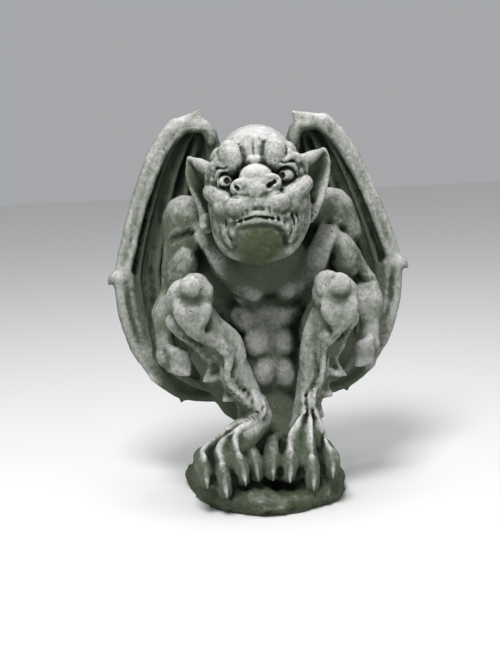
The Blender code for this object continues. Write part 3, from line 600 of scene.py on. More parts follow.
class Skin:
    def __init__(self, piece):
        self.mesh = piece.data
        count = len(self.mesh.vertices)
        flat = np.empty(count * 3, np.float32)
        self.mesh.vertices.foreach_get("co", flat)
        self.spots = (flat.reshape(-1, 3) - np.array(figureSeat, np.float32)) / mm
        self.takeNormals()

    def takeNormals(self):
        flat = np.empty(len(self.mesh.vertices) * 3, np.float32)
        self.mesh.vertex_normals.foreach_get("vector", flat)
        self.normals = flat.reshape(-1, 3)
        self.push = np.zeros(len(self.normals), np.float32)

    def stroke(self, points, width, depth, on=None, fade=0.25, facing=None, through=None, firm=False):
        path = linePath(points, 8)
        if on is not None:
            turn = np.array(on.to_3x3())
            path = path @ turn.T + (np.array(on.translation) - np.array(figureSeat)) / mm
        near, gaps = nearLine(self.spots, path, width, through)
        if not len(near):
            return
        closest = gaps.argmin(axis=1)
        gap = gaps[np.arange(len(near)), closest]
        along = closest / (len(path) - 1)
        weight = np.clip(1 - (gap / width) ** 2, 0, None)
        weight = np.clip(weight * 2.2, 0, 1) if firm else weight ** 2
        if fade:
            weight *= np.clip(np.minimum(along, 1 - along) / fade + 0.15, 0, 1)
        if facing or through:
            weight *= np.clip(self.normals[near] @ np.array(facing or through, np.float32) * 2, 0, 1)
        self.push[near] += depth * weight

    def soften(self, places, times):
        # even out the places where one soft form runs into the next
        beside = Neighbours(self.mesh)
        weight = np.zeros(len(self.spots), np.float32)
        for *place, wide in places:
            middle = np.array((onHead @ (Vector(place) * mm)) - figureSeat, np.float32) / mm
            gap = np.linalg.norm(self.spots - middle, axis=1)
            weight = np.maximum(weight, np.clip(2 - 2 * gap / wide, 0, 1))
        for _ in range(times):
            self.spots += ((beside.means(self.spots) - self.spots) * weight[:, None] * 0.9).astype(np.float32)
        self.settle()

    def settle(self):
        self.spots += self.normals * self.push[:, None]
        placed = self.spots * mm + np.array(figureSeat)
        self.mesh.vertices.foreach_set("co", placed.astype(np.float32).ravel())
        self.mesh.update()
        self.takeNormals()


def valueNoise(spots, cell, seed):
    # smooth noise from -1 to 1 on a seeded lattice
    size = 32
    lattice = np.random.default_rng(seed).random((size, size, size)).astype(np.float32) * 2 - 1
    scaled = spots / np.array(cell, np.float32) + 100.0
    base = np.floor(scaled).astype(np.int64)
    part = (scaled - base).astype(np.float32)
    part = part * part * (3 - 2 * part)
    total = np.zeros(len(spots), np.float32)
    for dx in (0, 1):
        for dy in (0, 1):
            for dz in (0, 1):
                weight = ((part[:, 0] if dx else 1 - part[:, 0]) * (part[:, 1] if dy else 1 - part[:, 1])
                          * (part[:, 2] if dz else 1 - part[:, 2]))
                total += weight * lattice[(base[:, 0] + dx) % size, (base[:, 1] + dy) % size,
                                          (base[:, 2] + dz) % size]
    return total


softFlesh = ((44, -44, -22, 22), (20, -74, -19, 17), (38, -44, -44, 20))      # cheek, lip, jaw: place, reach


def onCircle(angles):
    return [(math.cos(math.radians(angle)), math.sin(math.radians(angle))) for angle in angles]


def cutFace(skin):
    for side in sides:
        # groove round the eyeball, then the drilled pupil
        look = 34.5 if side < 0 else 31.5
        ring = [faceSpot(side, 37 + 10.6 * c, -50 + 3.2 * abs(c), 15.5 + 9.6 * s)
                for c, s in onCircle(range(0, 361, 30))]
        skin.stroke(ring, 2.2, -2.6, onHead, 0)
        skin.stroke(faceSpots(side, (look, -53, 16.8), (look + 0.6, -53, 15.8)),
                    4.8, -4.6, onHead, 0, firm=True)
        for reach, depth in ((14.5, -1.5), (19, -1.5), (23.5, -1.2), (27, -0.9)):
            arc = [faceSpot(side, 38 + reach * c, -42 + reach * 0.35 * c, 12 + reach * 0.85 * s)
                   for c, s in onCircle((205, 235, 270, 305, 335))]
            skin.stroke(arc, 2.4, depth, onHead)
        for k in range(4):      # crow's feet and temple creases
            skin.stroke(faceSpots(side, (57, -26, 27 - 6 * k), (66 - k, -10, 31 - 9 * k)), 2.8, -1.6, onHead)
        # creases round the brow bulge
        skin.stroke(sideSpots(side, (17, -48, 64), (12.5, -54, 52), (13.5, -58, 38), (20, -60, 25)),
                    2.8, -1.7, onHead)
        skin.stroke(faceSpots(side, (39, -42, 60), (41, -47, 48), (38, -53, 36)), 2.6, -1.8, onHead)
        skin.stroke(sideSpots(side, (20, -54, 58), (22, -59, 52), (19.5, -60, 44)), 2.0, -1.6, onHead)
        skin.stroke(faceSpots(side, (31, -57, 32), (38, -54, 30), (48, -47, 32), (56, -36, 28)),
                    2.4, -2.0, onHead)
        # long wrinkles down the jaw
        for k, (x, y) in enumerate(((38, -54), (43, -48), (48, -41), (53, -34), (56, -26))):
            skin.stroke([faceSpot(side, x, y, -24 - 2 * k), faceSpot(side, x + 4 - k, y + 5, -40),
                         flip(side, x - 4 - 2 * k, y + 8, -60)], 2.8, -3.4 + 0.25 * k, onHead)
            skin.stroke([faceSpot(side, x + 3.5, y + 4, -32 - 2 * k), faceSpot(side, x + 4 - k, y + 8, -46),
                         flip(side, x - 6 - 2 * k, y + 12, -64)], 2.4, 1.7, onHead)
        skin.stroke(sideSpots(side, (36, -52, -40), (37, -50, -48), (34, -48, -57)), 2.8, -4.0, onHead)
        # fold above the muzzle, nostril, split lip and short lip creases
        skin.stroke(sideSpots(side, (8, -78, -6), (20, -76, -6.5), (31, -67, -8)), 2.6, -1.3, onHead)
        skin.stroke(sideSpots(side, (6, -80, -8), (7, -80, -16), (5, -78, -24)), 2.4, -1.0, onHead)
        if side < 0:
            hole = [(-20.5, -72, 2), (-23, -70.5, 4.5), (-24.5, -69, 7)]
        else:
            hole = [(14, -74, 2.5), (19, -72, 5), (25, -69, 8.5)]
        skin.stroke(hole, 2.9, -4.8, onHead, 0.2, firm=True)
        for k in range(5):
            skin.stroke(sideSpots(side, (8 + 5 * k, -80 + 3 * k, -22), (9 + 5 * k, -78 + 3 * k, -30)),
                        1.9, -1.3, onHead)
    skin.stroke([(3, -51, 68), (1.5, -52, 56), (1.5, -52, 42)], 3, -2.4, onHead)
    for x in (-5, 4, 9):
        skin.stroke([(x * 1.4, -56, 62 - abs(x)), (x * 0.8, -57, 55), (x * 0.4, -57, 49)], 1.9, -0.9, onHead)
    # dark gap between the lips
    skin.stroke([(-29, -62, -36.5), (-16, -72, -34), (-3, -77, -32.5), (13, -72, -35), (28, -62, -38.5)],
                2.1, -2.6, onHead)
    for across, height in ((-25, -33), (-18, -32), (12, -33), (19, -34), (26, -36)):
        near = abs(across) * 0.3
        skin.stroke([(across, -73 + near, height + 1), (across * 0.99, -75 + near, height - 3),
                     (across * 0.98, -74 + near, height - 6)], 2.7, 3.2, onHead, 0.1)


def cutEars(skin):
    for side in sides:
        reach = head["earReach"][0 if side < 0 else 1]
        for k in range(4):
            skin.stroke(sideSpots(side, (62 + 4 * k, 2 + 5 * k, 22 - 3 * k),
                                  (66 + 3 * k, 14 + 3 * k, 4 - 4 * k), (66 + k, 8, -16)),
                        3, -0.8, onHead)
        skin.stroke(sideSpots(side, (60, -6, 27), (74, 6, 36), (reach - 6, 16, 44)), 4, -1.8, onHead)
        for k in range(6):      # ragged rim and lobe
            skin.stroke(sideSpots(side, (reach - 1 - 4 * k, 10 - 3 * k, 12 - 8 * k),
                                  (reach + 4 - 4 * k, 18 - 3 * k, 9 - 8 * k)), 2.4, -1.3, onHead)


def cutBody(skin):
    for side in sides:
        shoulder, biceps, elbow = joint("shoulder", side), joint("biceps", side), joint("elbow", side)
        knee, calf, ankle = joint("knee", side), joint("calf", side), joint("ankle", side)
        # crease under the shoulder muscle, then round the arm muscle
        if side < 0:
            crease = ((34, -16, -34), (19, -26, -20), (7, -31, -16), (-10, -33, -10))
        else:
            crease = ((31, -10, -44), (17, -22, -30), (-5, -31, -13), (-25, -34, 0))
        skin.stroke([shoulder + flip(side, *spot) for spot in crease], 6.5, -6, fade=0.12)
        skin.stroke(trail(side, (biceps, 4, -24, 32), (biceps, 22, -14, 8), (biceps, 26, -10, -22)), 5, -2.4)
        skin.stroke(trail(side, (biceps, -20, -16, 30), (biceps, -22, -16, 0), (biceps, -12, -20, -26),
                          (elbow, -10, -18, 6)), 7, -4)
        # deep hollow between the arm and the breast
        skin.stroke(sideSpots(side, (86, -28, 338), (80, -34, 320), (72, -34, 300), (66, -34, 286)), 13, -8)
        skin.stroke(trail(side, (elbow, -16, -18, 12), (elbow, -2, -20, 6), (elbow, 12, -14, 4)), 6, -4.5)
        skin.stroke(trail(side, (elbow, 2, -22, -10), (elbow, 4, -36, -30), (elbow, 0, -46, -48)), 4, -1.6)
        for k in range(6):      # strands in the shoulder
            skin.stroke(trail(side, (shoulder, -18, -12 - 4 * k, 26 - 8 * k),
                              (shoulder, 0, -24 - 2 * k, 16 - 9 * k), (shoulder, 18, -26, -4 - 8 * k)), 3.2,
                        -1.1)
        skin.stroke(trail(side, (shoulder, 20, -12, 16), (shoulder, 26, -14, -12), (shoulder, 22, -16, -44)),
                    5, -1.8)
        # ridge along the breast, and the hollow beside the neck
        skin.stroke(sideSpots(side, (92, -34, 348), (78, -50, 324), (60, -60, 292)), 6.5, 2.6)
        skin.stroke(sideSpots(side, (70, -46, 350), (56, -60, 324), (40, -66, 298)), 7, -3.4)
        # lower edge of the breast and the rib arcs
        skin.stroke(sideSpots(side, (66, -50, 290), (46, -62, 268), (26, -62, 254), (6, -60, 262)), 6, -4.0)
        for k in range(5):
            skin.stroke(sideSpots(side, (50, -36, 270 - 16 * k), (60, -18, 262 - 16 * k),
                                  (64, 4, 266 - 16 * k)), 5, -2.4)
        # back: spine side, shoulder blade
        skin.stroke(sideSpots(side, (20, 80, 372), (18, 88, 330), (14, 84, 270), (10, 76, 200)), 8, -3.5)
        skin.stroke(sideSpots(side, (30, 84, 372), (66, 70, 346), (76, 52, 318)), 8, -3)
        # crease between the thigh muscle and the cap, round the cap and beside the shin's head
        skin.stroke(trail(side, (knee, -4, -20, 32), (knee, -15, -28, 20), (knee, -17, -26, 4)), 3.6, -2.6)
        skin.stroke([knee + Vector((-15, -30, 4)), knee + Vector((0, -34, -3)), knee + Vector((15, -30, 4))],
                    3.4, -1.8)
        for edge in sides:
            skin.stroke(trail(edge, (knee, 24, -20, -4), (knee, 25, -14, -20), (knee, 15, -16, -38),
                              (knee, 9, -16, -50)), 5.5, -4.4)
            skin.stroke(trail(edge, (knee, 10, -20, -44), (calf, 9, -18, 2), (calf, 6, -16, -34),
                              (ankle, 7, -14, 8)), 4, -2.6)
        skin.stroke(trail(side, (knee, -14, -4, -36), (calf, -7, -12, 2), (calf, -8, -14, -30),
                          (ankle, -10, -14, 14)), 3.4, -3.0)
        skin.stroke(trail(side, (knee, 19, -12, -30), (knee, 22, -6, -44), (calf, 17, -8, 14)), 7, -4.5)
        # fine strands down the shin
        rng = np.random.default_rng(31 + side)
        for k in range(12):
            shift, start = float(rng.uniform(-16, 16)), float(rng.uniform(0, 0.6))
            a = knee.lerp(calf, 0.7).lerp(ankle, start) + Vector((shift, -18, 0))
            b = knee.lerp(calf, 0.7).lerp(ankle, start + 0.3) + Vector((shift * 0.8, -18, 0))
            skin.stroke([a, a.lerp(b, 0.5), b], 3.0, -1.3 if k % 3 else 1.0)


def cutBelly(skin):
    skin.stroke([(-1, -54, 268), (-3, -54, 244), (2, -54, 208), (4, -54, 170), (5, -52, 148)],
                3.4, -3.6, fade=0.1)
    for rowZ, left, right in ((254, -40, 42), (226, -36, 40), (190, -28, 34)):
        skin.stroke([(left, -40, rowZ + 5), (left * 0.4, -52, rowZ - 1), (3, -54, rowZ + 1),
                     (right * 0.5, -52, rowZ - 1), (right, -40, rowZ + 4)], 3.4, -3.6, fade=0.12)
    for side in sides:
        skin.stroke(sideSpots(side, (46, -34, 262), (40, -40, 232), (33, -44, 200), (26, -46, 162)), 5, -2.8)


def tendonLines(side):
    # from the shin over the knuckle to the second joint of each toe
    ankle, toes = joint("ankle", side), joint("toes", side)
    lines = []
    for form in toeForms:
        knuckle, second = (onFoot(side, spot) for spot in form[:2])
        start = ankle + Vector(((knuckle - toes).x * 0.3, -16, 6))
        lines.append([start + Vector((0, 2, 26)), start, start.lerp(knuckle, 0.55), knuckle,
                      second + Vector((0, -4, 4))])
    return lines


def cutFeet(skin):
    for side in sides:
        lines = tendonLines(side)
        for near, far in zip(lines[:-1], lines[1:]):
            skin.stroke([a.lerp(b, 0.5) for a, b in zip(near, far)][1:], 5, -3.6, through=footOutward)
        for line in lines[1:]:
            skin.stroke(line, 4.2, 4.2, fade=0.1, through=footOutward)
        for line in lines:
            skin.stroke([line[-1], line[-1] + Vector((0, -2, -3))], 6.5, 2.0, fade=0, through=footOutward)
        for near, far in zip(toeForms[:-1], toeForms[1:]):
            skin.stroke([onFoot(side, ((a[0] + b[0]) / 2, min(a[1], b[1]) + 4, (a[2] + b[2]) / 2))
                         for a, b in zip(near, far)], 7, -3.6)
        for form in toeForms:
            for edge in sides:      # groove on either side of a claw
                start = onFoot(side, form[1]) + Vector((4.5 * edge, -7, 0))
                stop = onFoot(side, form[2]) + Vector((4 * edge, 8, 6))
                skin.stroke([start, start.lerp(stop, 0.5) + Vector((0, -5, 1)), stop], 3, -2.4)


def cutFins(skin):
    for side in sides:
        knee, ankle = joint("knee", side), joint("ankle", side)
        for share, reach, thorn in finOutline:
            root = knee.lerp(ankle, share)
            depth = 0.8 if thorn else -1.0
            skin.stroke(trail(side, (root, 13, -6, 3), (root, reach * 0.9, -3, -5 * thorn)),
                        3.2, depth, fade=0.3)


def cutWings(skin):
    for side in sides:
        rows = wingRows(side)
        rng = np.random.default_rng(5 + side)
        for column in range(1, 16):
            for turn in range(3):
                start = int(rng.integers(2, 16))
                stop = int(rng.integers(start + 7, 33))
                shift = float(rng.uniform(-0.5, 0.5)) * 7
                line = [rows[i][column] + Vector((shift, -4, 0)) for i in range(start, stop, 3)]
                skin.stroke(line, 3.6, -1.7 if turn else 1.3, facing=(0, -1, 0))
        for column in (3, 7, 11, 13):
            line = [rows[i][column] + Vector((0, 5, 0)) for i in range(4, 30, 5)]
            skin.stroke(line, 7.0, 2.2, facing=(0, 1, 0))
        # short slanting strokes just inside the bone
        for i in range(8, 24):
            start = rows[i][14] + Vector((0, -6, 0))
            skin.stroke([start, start.lerp(rows[i + 2][11], 0.7) + Vector((0, -5, 0))],
                        2.4, -1.3, facing=(0, -1, 0))
        edge = wingEdge(side)
        skin.stroke([spot + Vector((-5.5 * side, -10, -4)) for spot in edge[:6]], 3.4, -2.4)
        for shift in (-7, -19):
            skin.stroke([spot + Vector((shift * side, -9, 0)) for spot in edge[5:8]], 4.5, -3.0)


def ramp(values, first, last):
    # 0 at first and 1 at last, level beyond them
    return np.clip((values - first) / (last - first), 0, 1)


def roughen(skin):
    spots = skin.spots
    skin.push += 0.6 * valueNoise(spots, (17, 17, 17), 3) + 0.36 * valueNoise(spots, (7, 7, 7), 4)
    skin.push += 0.2 * valueNoise(spots, (3.4, 3.4, 3.4), 5)
    # the rock is broken stone
    rocky = ramp(spots[:, 2], 58, 46)
    away = np.ones(len(spots), np.float32)
    for side in sides:
        toes = np.array(joint("toes", side), np.float32)
        gap = spots - toes - np.array((0, -6, -14), np.float32)
        away *= ramp(np.linalg.norm(gap / np.array((50, 36, 40)), axis=1), 0.85, 1.15)
    rocky *= away
    coarse = valueNoise(spots, (34, 34, 20), 7)
    ridged = 1 - np.abs(valueNoise(spots, (15, 15, 9), 8)) * 2
    skin.push += rocky * (3.6 * coarse + 2.6 * ridged - 1.8 + 1.3 * valueNoise(spots, (5, 5, 4), 9))
    # wing skin: long upright folds
    wingy = ramp(spots[:, 1], 18, 32) * ramp(np.abs(spots[:, 0]), 62, 78)
    wingy *= np.clip(np.abs(skin.normals[:, 1]) * 1.6 - 0.3, 0, 1)
    skin.push += wingy * (0.9 * valueNoise(spots, (5, 9, 46), 10) + 0.5 * valueNoise(spots, (3, 6, 9), 12))
    # worm-eaten crust on the arms, calves and thorned webs
    x, y, z = spots.T
    crusty = np.exp(-((z - 300) / 34) ** 2) * ramp(np.abs(x), 84, 98) * ramp(y, 24, 4)
    lowLeg = ramp(z, 250, 230) * ramp(z, 118, 134) * ramp(y, -60, -74)
    crusty = np.maximum(crusty, 0.7 * lowLeg)
    tracks = np.abs(valueNoise(spots, (3.4, 3.4, 3.4), 11))
    skin.push += crusty * np.clip(0.34 - tracks, 0, 0.34) * -2.6


def cutUnderside(piece):
    deselectAll()
    piece.select_set(True)
    bpy.context.view_layer.objects.active = piece
    bpy.ops.object.mode_set(mode="EDIT")
    bpy.ops.mesh.select_all(action="SELECT")
    bpy.ops.mesh.bisect(plane_co=(0, 0, 0), plane_no=(0, 0, -1), use_fill=True, clear_outer=True,
                        threshold=0.00002)
    bpy.ops.mesh.quads_convert_to_tris()
    bpy.ops.object.mode_set(mode="OBJECT")


def thinOut(piece, wanted):
    # the head keeps all its points, the rest gives up what it can spare
    skin = Skin(piece)
    local = skin.spots - np.array(head["place"], np.float32)
    keep = (np.linalg.norm(local / np.array((76, 86, 92), np.float32), axis=1) < 1) & (local[:, 1] < 8)
    spare = piece.vertex_groups.new(name="spare")
    spare.add(np.flatnonzero(~keep).tolist(), 1.0, "REPLACE")
    triangles = 2 * len(piece.data.polygons)
    thin = piece.modifiers.new("thin", "DECIMATE")
    thin.ratio = wanted / triangles
    thin.vertex_group = spare.name
    thin.use_collapse_triangulate = True
    deselectAll()
    piece.select_set(True)
    bpy.context.view_layer.objects.active = piece
    bpy.ops.object.modifier_apply(modifier=thin.name)
    piece.vertex_groups.clear()
    print("thinned from", triangles, "to", len(piece.data.polygons), "triangles; head keeps", int(keep.sum()))


def skyMasks(skin):
    # hollow: 1 deep in a crease; shade: 1 where little sky reaches or the face turns from the light above and
    # in front; both are painted shade in the stone's colour
    spots, normals = skin.spots, skin.normals
    count = len(spots)
    tree = BVHTree.FromPolygons([tuple(v) for v in spots.tolist()],
                                [tuple(p.vertices) for p in skin.mesh.polygons])
    rays = np.random.default_rng(21).normal(size=(9, 3))
    rays /= np.linalg.norm(rays, axis=1)[:, None]
    starts = (spots + normals * 0.8).tolist()

    def blocked(ways, reach):
        part = np.zeros(count, np.float32)
        for i, (start, ray) in enumerate(zip(starts, ways.tolist())):
            gap = tree.ray_cast(start, ray, reach)[3]
            if gap is not None:
                part[i] = 1 - gap / reach
        return part

    hollow = np.zeros(count, np.float32)
    shade = np.zeros(count, np.float32)
    for ray in rays:
        way = normals * 1.05 + ray
        hollow += blocked(way / (np.linalg.norm(way, axis=1)[:, None] + 1e-6), 26.0)
        up = np.array((0.0, -0.55, 1.25)) + ray
        up = np.broadcast_to(up / np.linalg.norm(up), (count, 3))
        lit = np.clip((normals * up).sum(1), 0, 1)
        shade += 1 - lit * (1 - np.minimum(1, blocked(up, 260.0) * 1.6))
    return hollow / len(rays), shade / len(rays)


def creaseMask(skin, beside):
    # how far the skin bends: 1 in a fold, -1 on an edge
    length = np.linalg.norm(skin.spots[beside.a] - skin.spots[beside.b], axis=1)
    mean = beside.gather(length, length) / beside.number
    away = beside.means(skin.spots) - skin.spots
    bend = (away * skin.normals).sum(1) / np.maximum(mean, 0.3) ** 1.5
    for _ in range(3):
        bend = 0.4 * bend + 0.6 * beside.mean(bend)
    return np.clip(bend * 3.2, -1, 1)


def cleanAndLitMask(spots):
    # bones, tendons and claws are rubbed clean and the belly lobes are painted as lit; the hollows beside
    # them are not
    cleanAndLit = np.zeros(len(spots), np.float32)

    def rub(points, width, through=None):
        near, gaps = nearLine(spots, linePath(points, 6), 2 * width, through)
        cleanAndLit[near] = np.maximum(cleanAndLit[near], np.clip(1.6 - gaps.min(axis=1) / width, 0, 1))

    for side in sides:
        for line in tendonLines(side)[1:]:
            rub(line, 3.4, footOutward)
        for form in toeForms:
            second, tip = (onFoot(side, (x, y - 5, z + 3)) for x, y, z in form[1:])
            rub([second, second.lerp(tip, 0.5), tip], 3)
        rub([spot + Vector((-2 * side, -6, 0)) for spot in wingEdge(side)], 11)
    # painted light on the belly lobes
    for across, height, wide, tall, _ in bellyLobes:
        rub([(across, -44, height + tall * 0.4), (across, -44, height - tall * 0.4)], wide)
    return cleanAndLit


def dampShadeMask(skin, onHeadSpots):
    # where green growth holds, and painted shade: on the chest under the head, between the shins, low on the
    # figure and under the face
    x, y, z = skin.spots.T
    dampShade = 0.3 + 0.35 * ramp(y, -80, -20)
    dampShade = np.maximum(dampShade, ramp(y, 16, 28) * ramp(np.abs(x), 50, 64))
    dampShade *= 1 - 0.4 * ramp(skin.normals[:, 1], 0, 1)
    dampShade = np.maximum(dampShade, ramp(z, 54, 40) * (0.85 + 0.15 * valueNoise(skin.spots, (16, 16, 9), 17)))
    # painted shade on the chest under the head and on the column between the shins
    chest = np.exp(-(((x + 4) / 66) ** 2 + ((z - 306) / 60) ** 2)) * ramp(y, -92, -78)
    column = ramp(z, 165, 151) * ramp(y, -74, -64)
    dampShade = np.maximum(np.maximum(dampShade, chest), column)
    dampShade = np.maximum(dampShade, 0.95 * ramp(z, 122, 102))
    dampShade *= 1 - 0.8 * cleanAndLitMask(skin.spots)
    # on the face, painted shade from the mouth down
    onFace = ramp(np.linalg.norm(onHeadSpots / np.array((0.9, 1.1, 1.2)), axis=1), 72, 60)
    return dampShade * (1 - onFace) + 0.75 * onFace * ramp(onHeadSpots[:, 2], -14, -38)


def oliveShadeMask(spots, onHeadSpots):
    # dull olive film with painted shade in the scoop below the chin, and olive patches low on the stone base
    across, deep, high = onHeadSpots.T
    inside = 1 - ((across + 2) / 37) ** 2 - ((high + 68) / 33) ** 2
    oliveShade = np.clip(inside * 1.5 + 0.25 * valueNoise(spots, (6, 6, 6), 15), 0, 1) * ramp(deep, -20, -32)
    oliveShade = np.maximum(oliveShade, ramp(spots[:, 2], 50, 40) * (0.45 + 0.6 * valueNoise(spots, (15, 15, 9), 18)))
    return np.clip(oliveShade * (0.9 + 0.12 * valueNoise(spots, (3, 3, 3), 16)), 0, 1)


# pupils and nostrils are painted dark as shade, through the hollow mask
darkHoles = (      # pupils and nostrils: place on the head and size
    ((-33, -50, 16), 4.4), ((-20.5, -69, 4), 3.2), ((-23, -68, 7), 3.2),
    ((31.8, -50, 16), 4.4), ((17, -69, 4), 3.2), ((23, -68, 7), 3.2),
)


def paintMasks(piece):
    skin = Skin(piece)
    beside = Neighbours(piece.data)
    toHead = np.array(onHead.inverted() @ onBody)
    onHeadSpots = skin.spots @ toHead[:3, :3].T + toHead[:3, 3] / mm
    hollow, shade = skyMasks(skin)
    for _ in range(2):
        hollow = 0.5 * hollow + 0.5 * beside.mean(hollow)
        shade = 0.5 * shade + 0.5 * beside.mean(shade)
    shade *= 1 - 0.5 * ramp(skin.normals[:, 1], 0, 1)      # less painted shade on the faces turned to the back
    # painted shade in the pupils and nostrils
    for place, size in darkHoles:
        gap = np.linalg.norm(onHeadSpots - np.array(place), axis=1)
        hollow = np.maximum(hollow, np.clip((size - gap) / 1.6, 0, 1))
    masks = {
        "hollow": np.clip(hollow * 1.6, 0, 1),
        "shade": shade,
        "crease": creaseMask(skin, beside) * 0.5 + 0.5,
        "dampShade": dampShadeMask(skin, onHeadSpots),
        "oliveShade": oliveShadeMask(skin.spots, onHeadSpots),
    }
    for name, values in masks.items():
        layer = piece.data.attributes.new(name, "FLOAT", "POINT")
        layer.data.foreach_set("value", values.astype(np.float32))


# materials

stoneLook = {
    "pale": (0.78, 0.75, 0.76, 1.0),
    "grey": (0.37, 0.38, 0.34, 1.0),
    "green": (0.115, 0.142, 0.096, 1.0),
    # deep is the colour of painted shade in creases, hollows and pin holes
    "deep": (0.012, 0.018, 0.011, 1.0),
    "oliveShade": (0.056, 0.069, 0.026, 1.0),
    "growthAndShade": {"Hollow": 0.8, "Crease": 2.3, "Dampshade": 0.62, "Shade": 0.75, "Patch": 0.6, "Mottle": 0.6},
    "growthAndShadeRange": (1.88, 2.68),      # bare stone below the first, green growth with painted shade above the second
    # painted shade in creases and hollows, in the deep colour
    "creaseShade": {"Hollow": 1.0, "Crease": 1.9, "Patch": 0.3},
    "creaseShadeRange": (1.15, 1.8),
    "bump": 0.8, "bumpDepth": 0.0014,
}


def addNode(tree, kind, place, values=None, **settings):
    node = tree.nodes.new("ShaderNode" + kind)
    node.location = place
    for key, value in settings.items():
        setattr(node, key, value)
    for socket, value in (values or {}).items():
        node.inputs[socket].default_value = value
    return node


def addRange(tree, place, first, last, low=0.0, high=1.0):
    return addNode(tree, "MapRange", place,
                   {"From Min": first, "From Max": last, "To Min": low, "To Max": high})


def startGroup(name, takes, gives):
    # a node group with a vector and some values going in and values coming out
    group = bpy.data.node_groups.new(name, "ShaderNodeTree")
    group.interface.new_socket("Vector", in_out="INPUT", socket_type="NodeSocketVector")
    for way, names in (("INPUT", takes), ("OUTPUT", gives)):
        for socket in names:
            group.interface.new_socket(socket, in_out=way, socket_type="NodeSocketFloat")
    source, sink = group.nodes.new("NodeGroupInput"), group.nodes.new("NodeGroupOutput")
    source.location, sink.location = (-900, 0), (900, 0)
    return group, source, sink


def stoneGrainGroup():
    # fine crust, worm tracks and pin holes of weathered stone
    group, source, sink = startGroup("stoneGrain", ("Crust",), ("Height", "Speckle", "Pits"))
    link = group.links.new
    grain = addNode(group, "TexNoise", (-600, 300), {"Scale": 420, "Detail": 4})
    worms = addNode(group, "TexNoise", (-600, 60), {"Scale": 210, "Detail": 2, "Distortion": 2.2})
    tracks = addRange(group, (-380, 60), 0.42, 0.58)
    holes = addNode(group, "TexVoronoi", (-600, -260), {"Scale": 95, "Randomness": 1.0})
    dots = addRange(group, (-380, -260), 0.055, 0.11, 1.0, 0.0)
    rare = addNode(group, "TexNoise", (-600, -520), {"Scale": 26})
    few = addRange(group, (-380, -520), 0.50, 0.56)
    pits = addNode(group, "Math", (-160, -340), operation="MULTIPLY")
    crusted = addNode(group, "Math", (-160, 120), operation="MULTIPLY")
    built = addNode(group, "Math", (60, 220), {1: 0.55}, operation="MULTIPLY_ADD")
    sunk = addNode(group, "Math", (280, 120), {1: -2.4}, operation="MULTIPLY_ADD")
    speck = addNode(group, "Math", (60, -60), {1: 0.5}, operation="MULTIPLY_ADD")
    for node in (grain, worms, holes, rare):
        link(source.outputs["Vector"], node.inputs["Vector"])
    for start, stop in (
            (worms.outputs["Fac"], tracks.inputs["Value"]), (holes.outputs["Distance"], dots.inputs["Value"]),
            (rare.outputs["Fac"], few.inputs["Value"]), (dots.outputs["Result"], pits.inputs[0]),
            (few.outputs["Result"], pits.inputs[1]), (tracks.outputs["Result"], crusted.inputs[0]),
            (source.outputs["Crust"], crusted.inputs[1]), (grain.outputs["Fac"], built.inputs[0]),
            (crusted.outputs["Value"], built.inputs[2]), (pits.outputs["Value"], sunk.inputs[0]),
            (built.outputs["Value"], sunk.inputs[2]), (crusted.outputs["Value"], speck.inputs[0]),
            (grain.outputs["Fac"], speck.inputs[2]), (sunk.outputs["Value"], sink.inputs["Height"]),
            (speck.outputs["Value"], sink.inputs["Speckle"]), (pits.outputs["Value"], sink.inputs["Pits"])):
        link(start, stop)
    return group


def growthAndShadeGroup():
    # where green growth with painted shade, and the darker painted shade of creases and hollows, fall, from
    # the masks and patchy noise
    group, source, sink = startGroup("greenGrowthAndShade", ("Hollow", "Shade", "Crease", "Dampshade"), ("GrowthAndShade", "CreaseShade"))
    link = group.links.new
    patch = addNode(group, "TexNoise", (-680, 340), {"Scale": 34, "Detail": 6, "Roughness": 0.7})
    mottle = addNode(group, "TexNoise", (-680, 560), {"Scale": 170, "Detail": 4})
    given = {name: source.outputs[name] for name in ("Hollow", "Shade", "Crease", "Dampshade")}
    given.update({"Patch": patch.outputs["Fac"], "Mottle": mottle.outputs["Fac"]})
    for node in (patch, mottle):
        link(source.outputs["Vector"], node.inputs["Vector"])
    for output, weights, limits, high in (("GrowthAndShade", stoneLook["growthAndShade"], stoneLook["growthAndShadeRange"], 200),
                                          ("CreaseShade", stoneLook["creaseShade"], stoneLook["creaseShadeRange"], -120)):
        total = None
        for i, (name, weight) in enumerate(weights.items()):
            place = (-440 + 180 * i, high)
            node = addNode(group, "Math", place, {1: weight, 2: 0.0}, operation="MULTIPLY_ADD")
            link(given[name], node.inputs[0])
            if total:
                link(total, node.inputs[2])
            total = node.outputs["Value"]
        held = addRange(group, (700, high), *limits)
        link(total, held.inputs["Value"])
        link(held.outputs["Result"], sink.inputs[output])
    return group


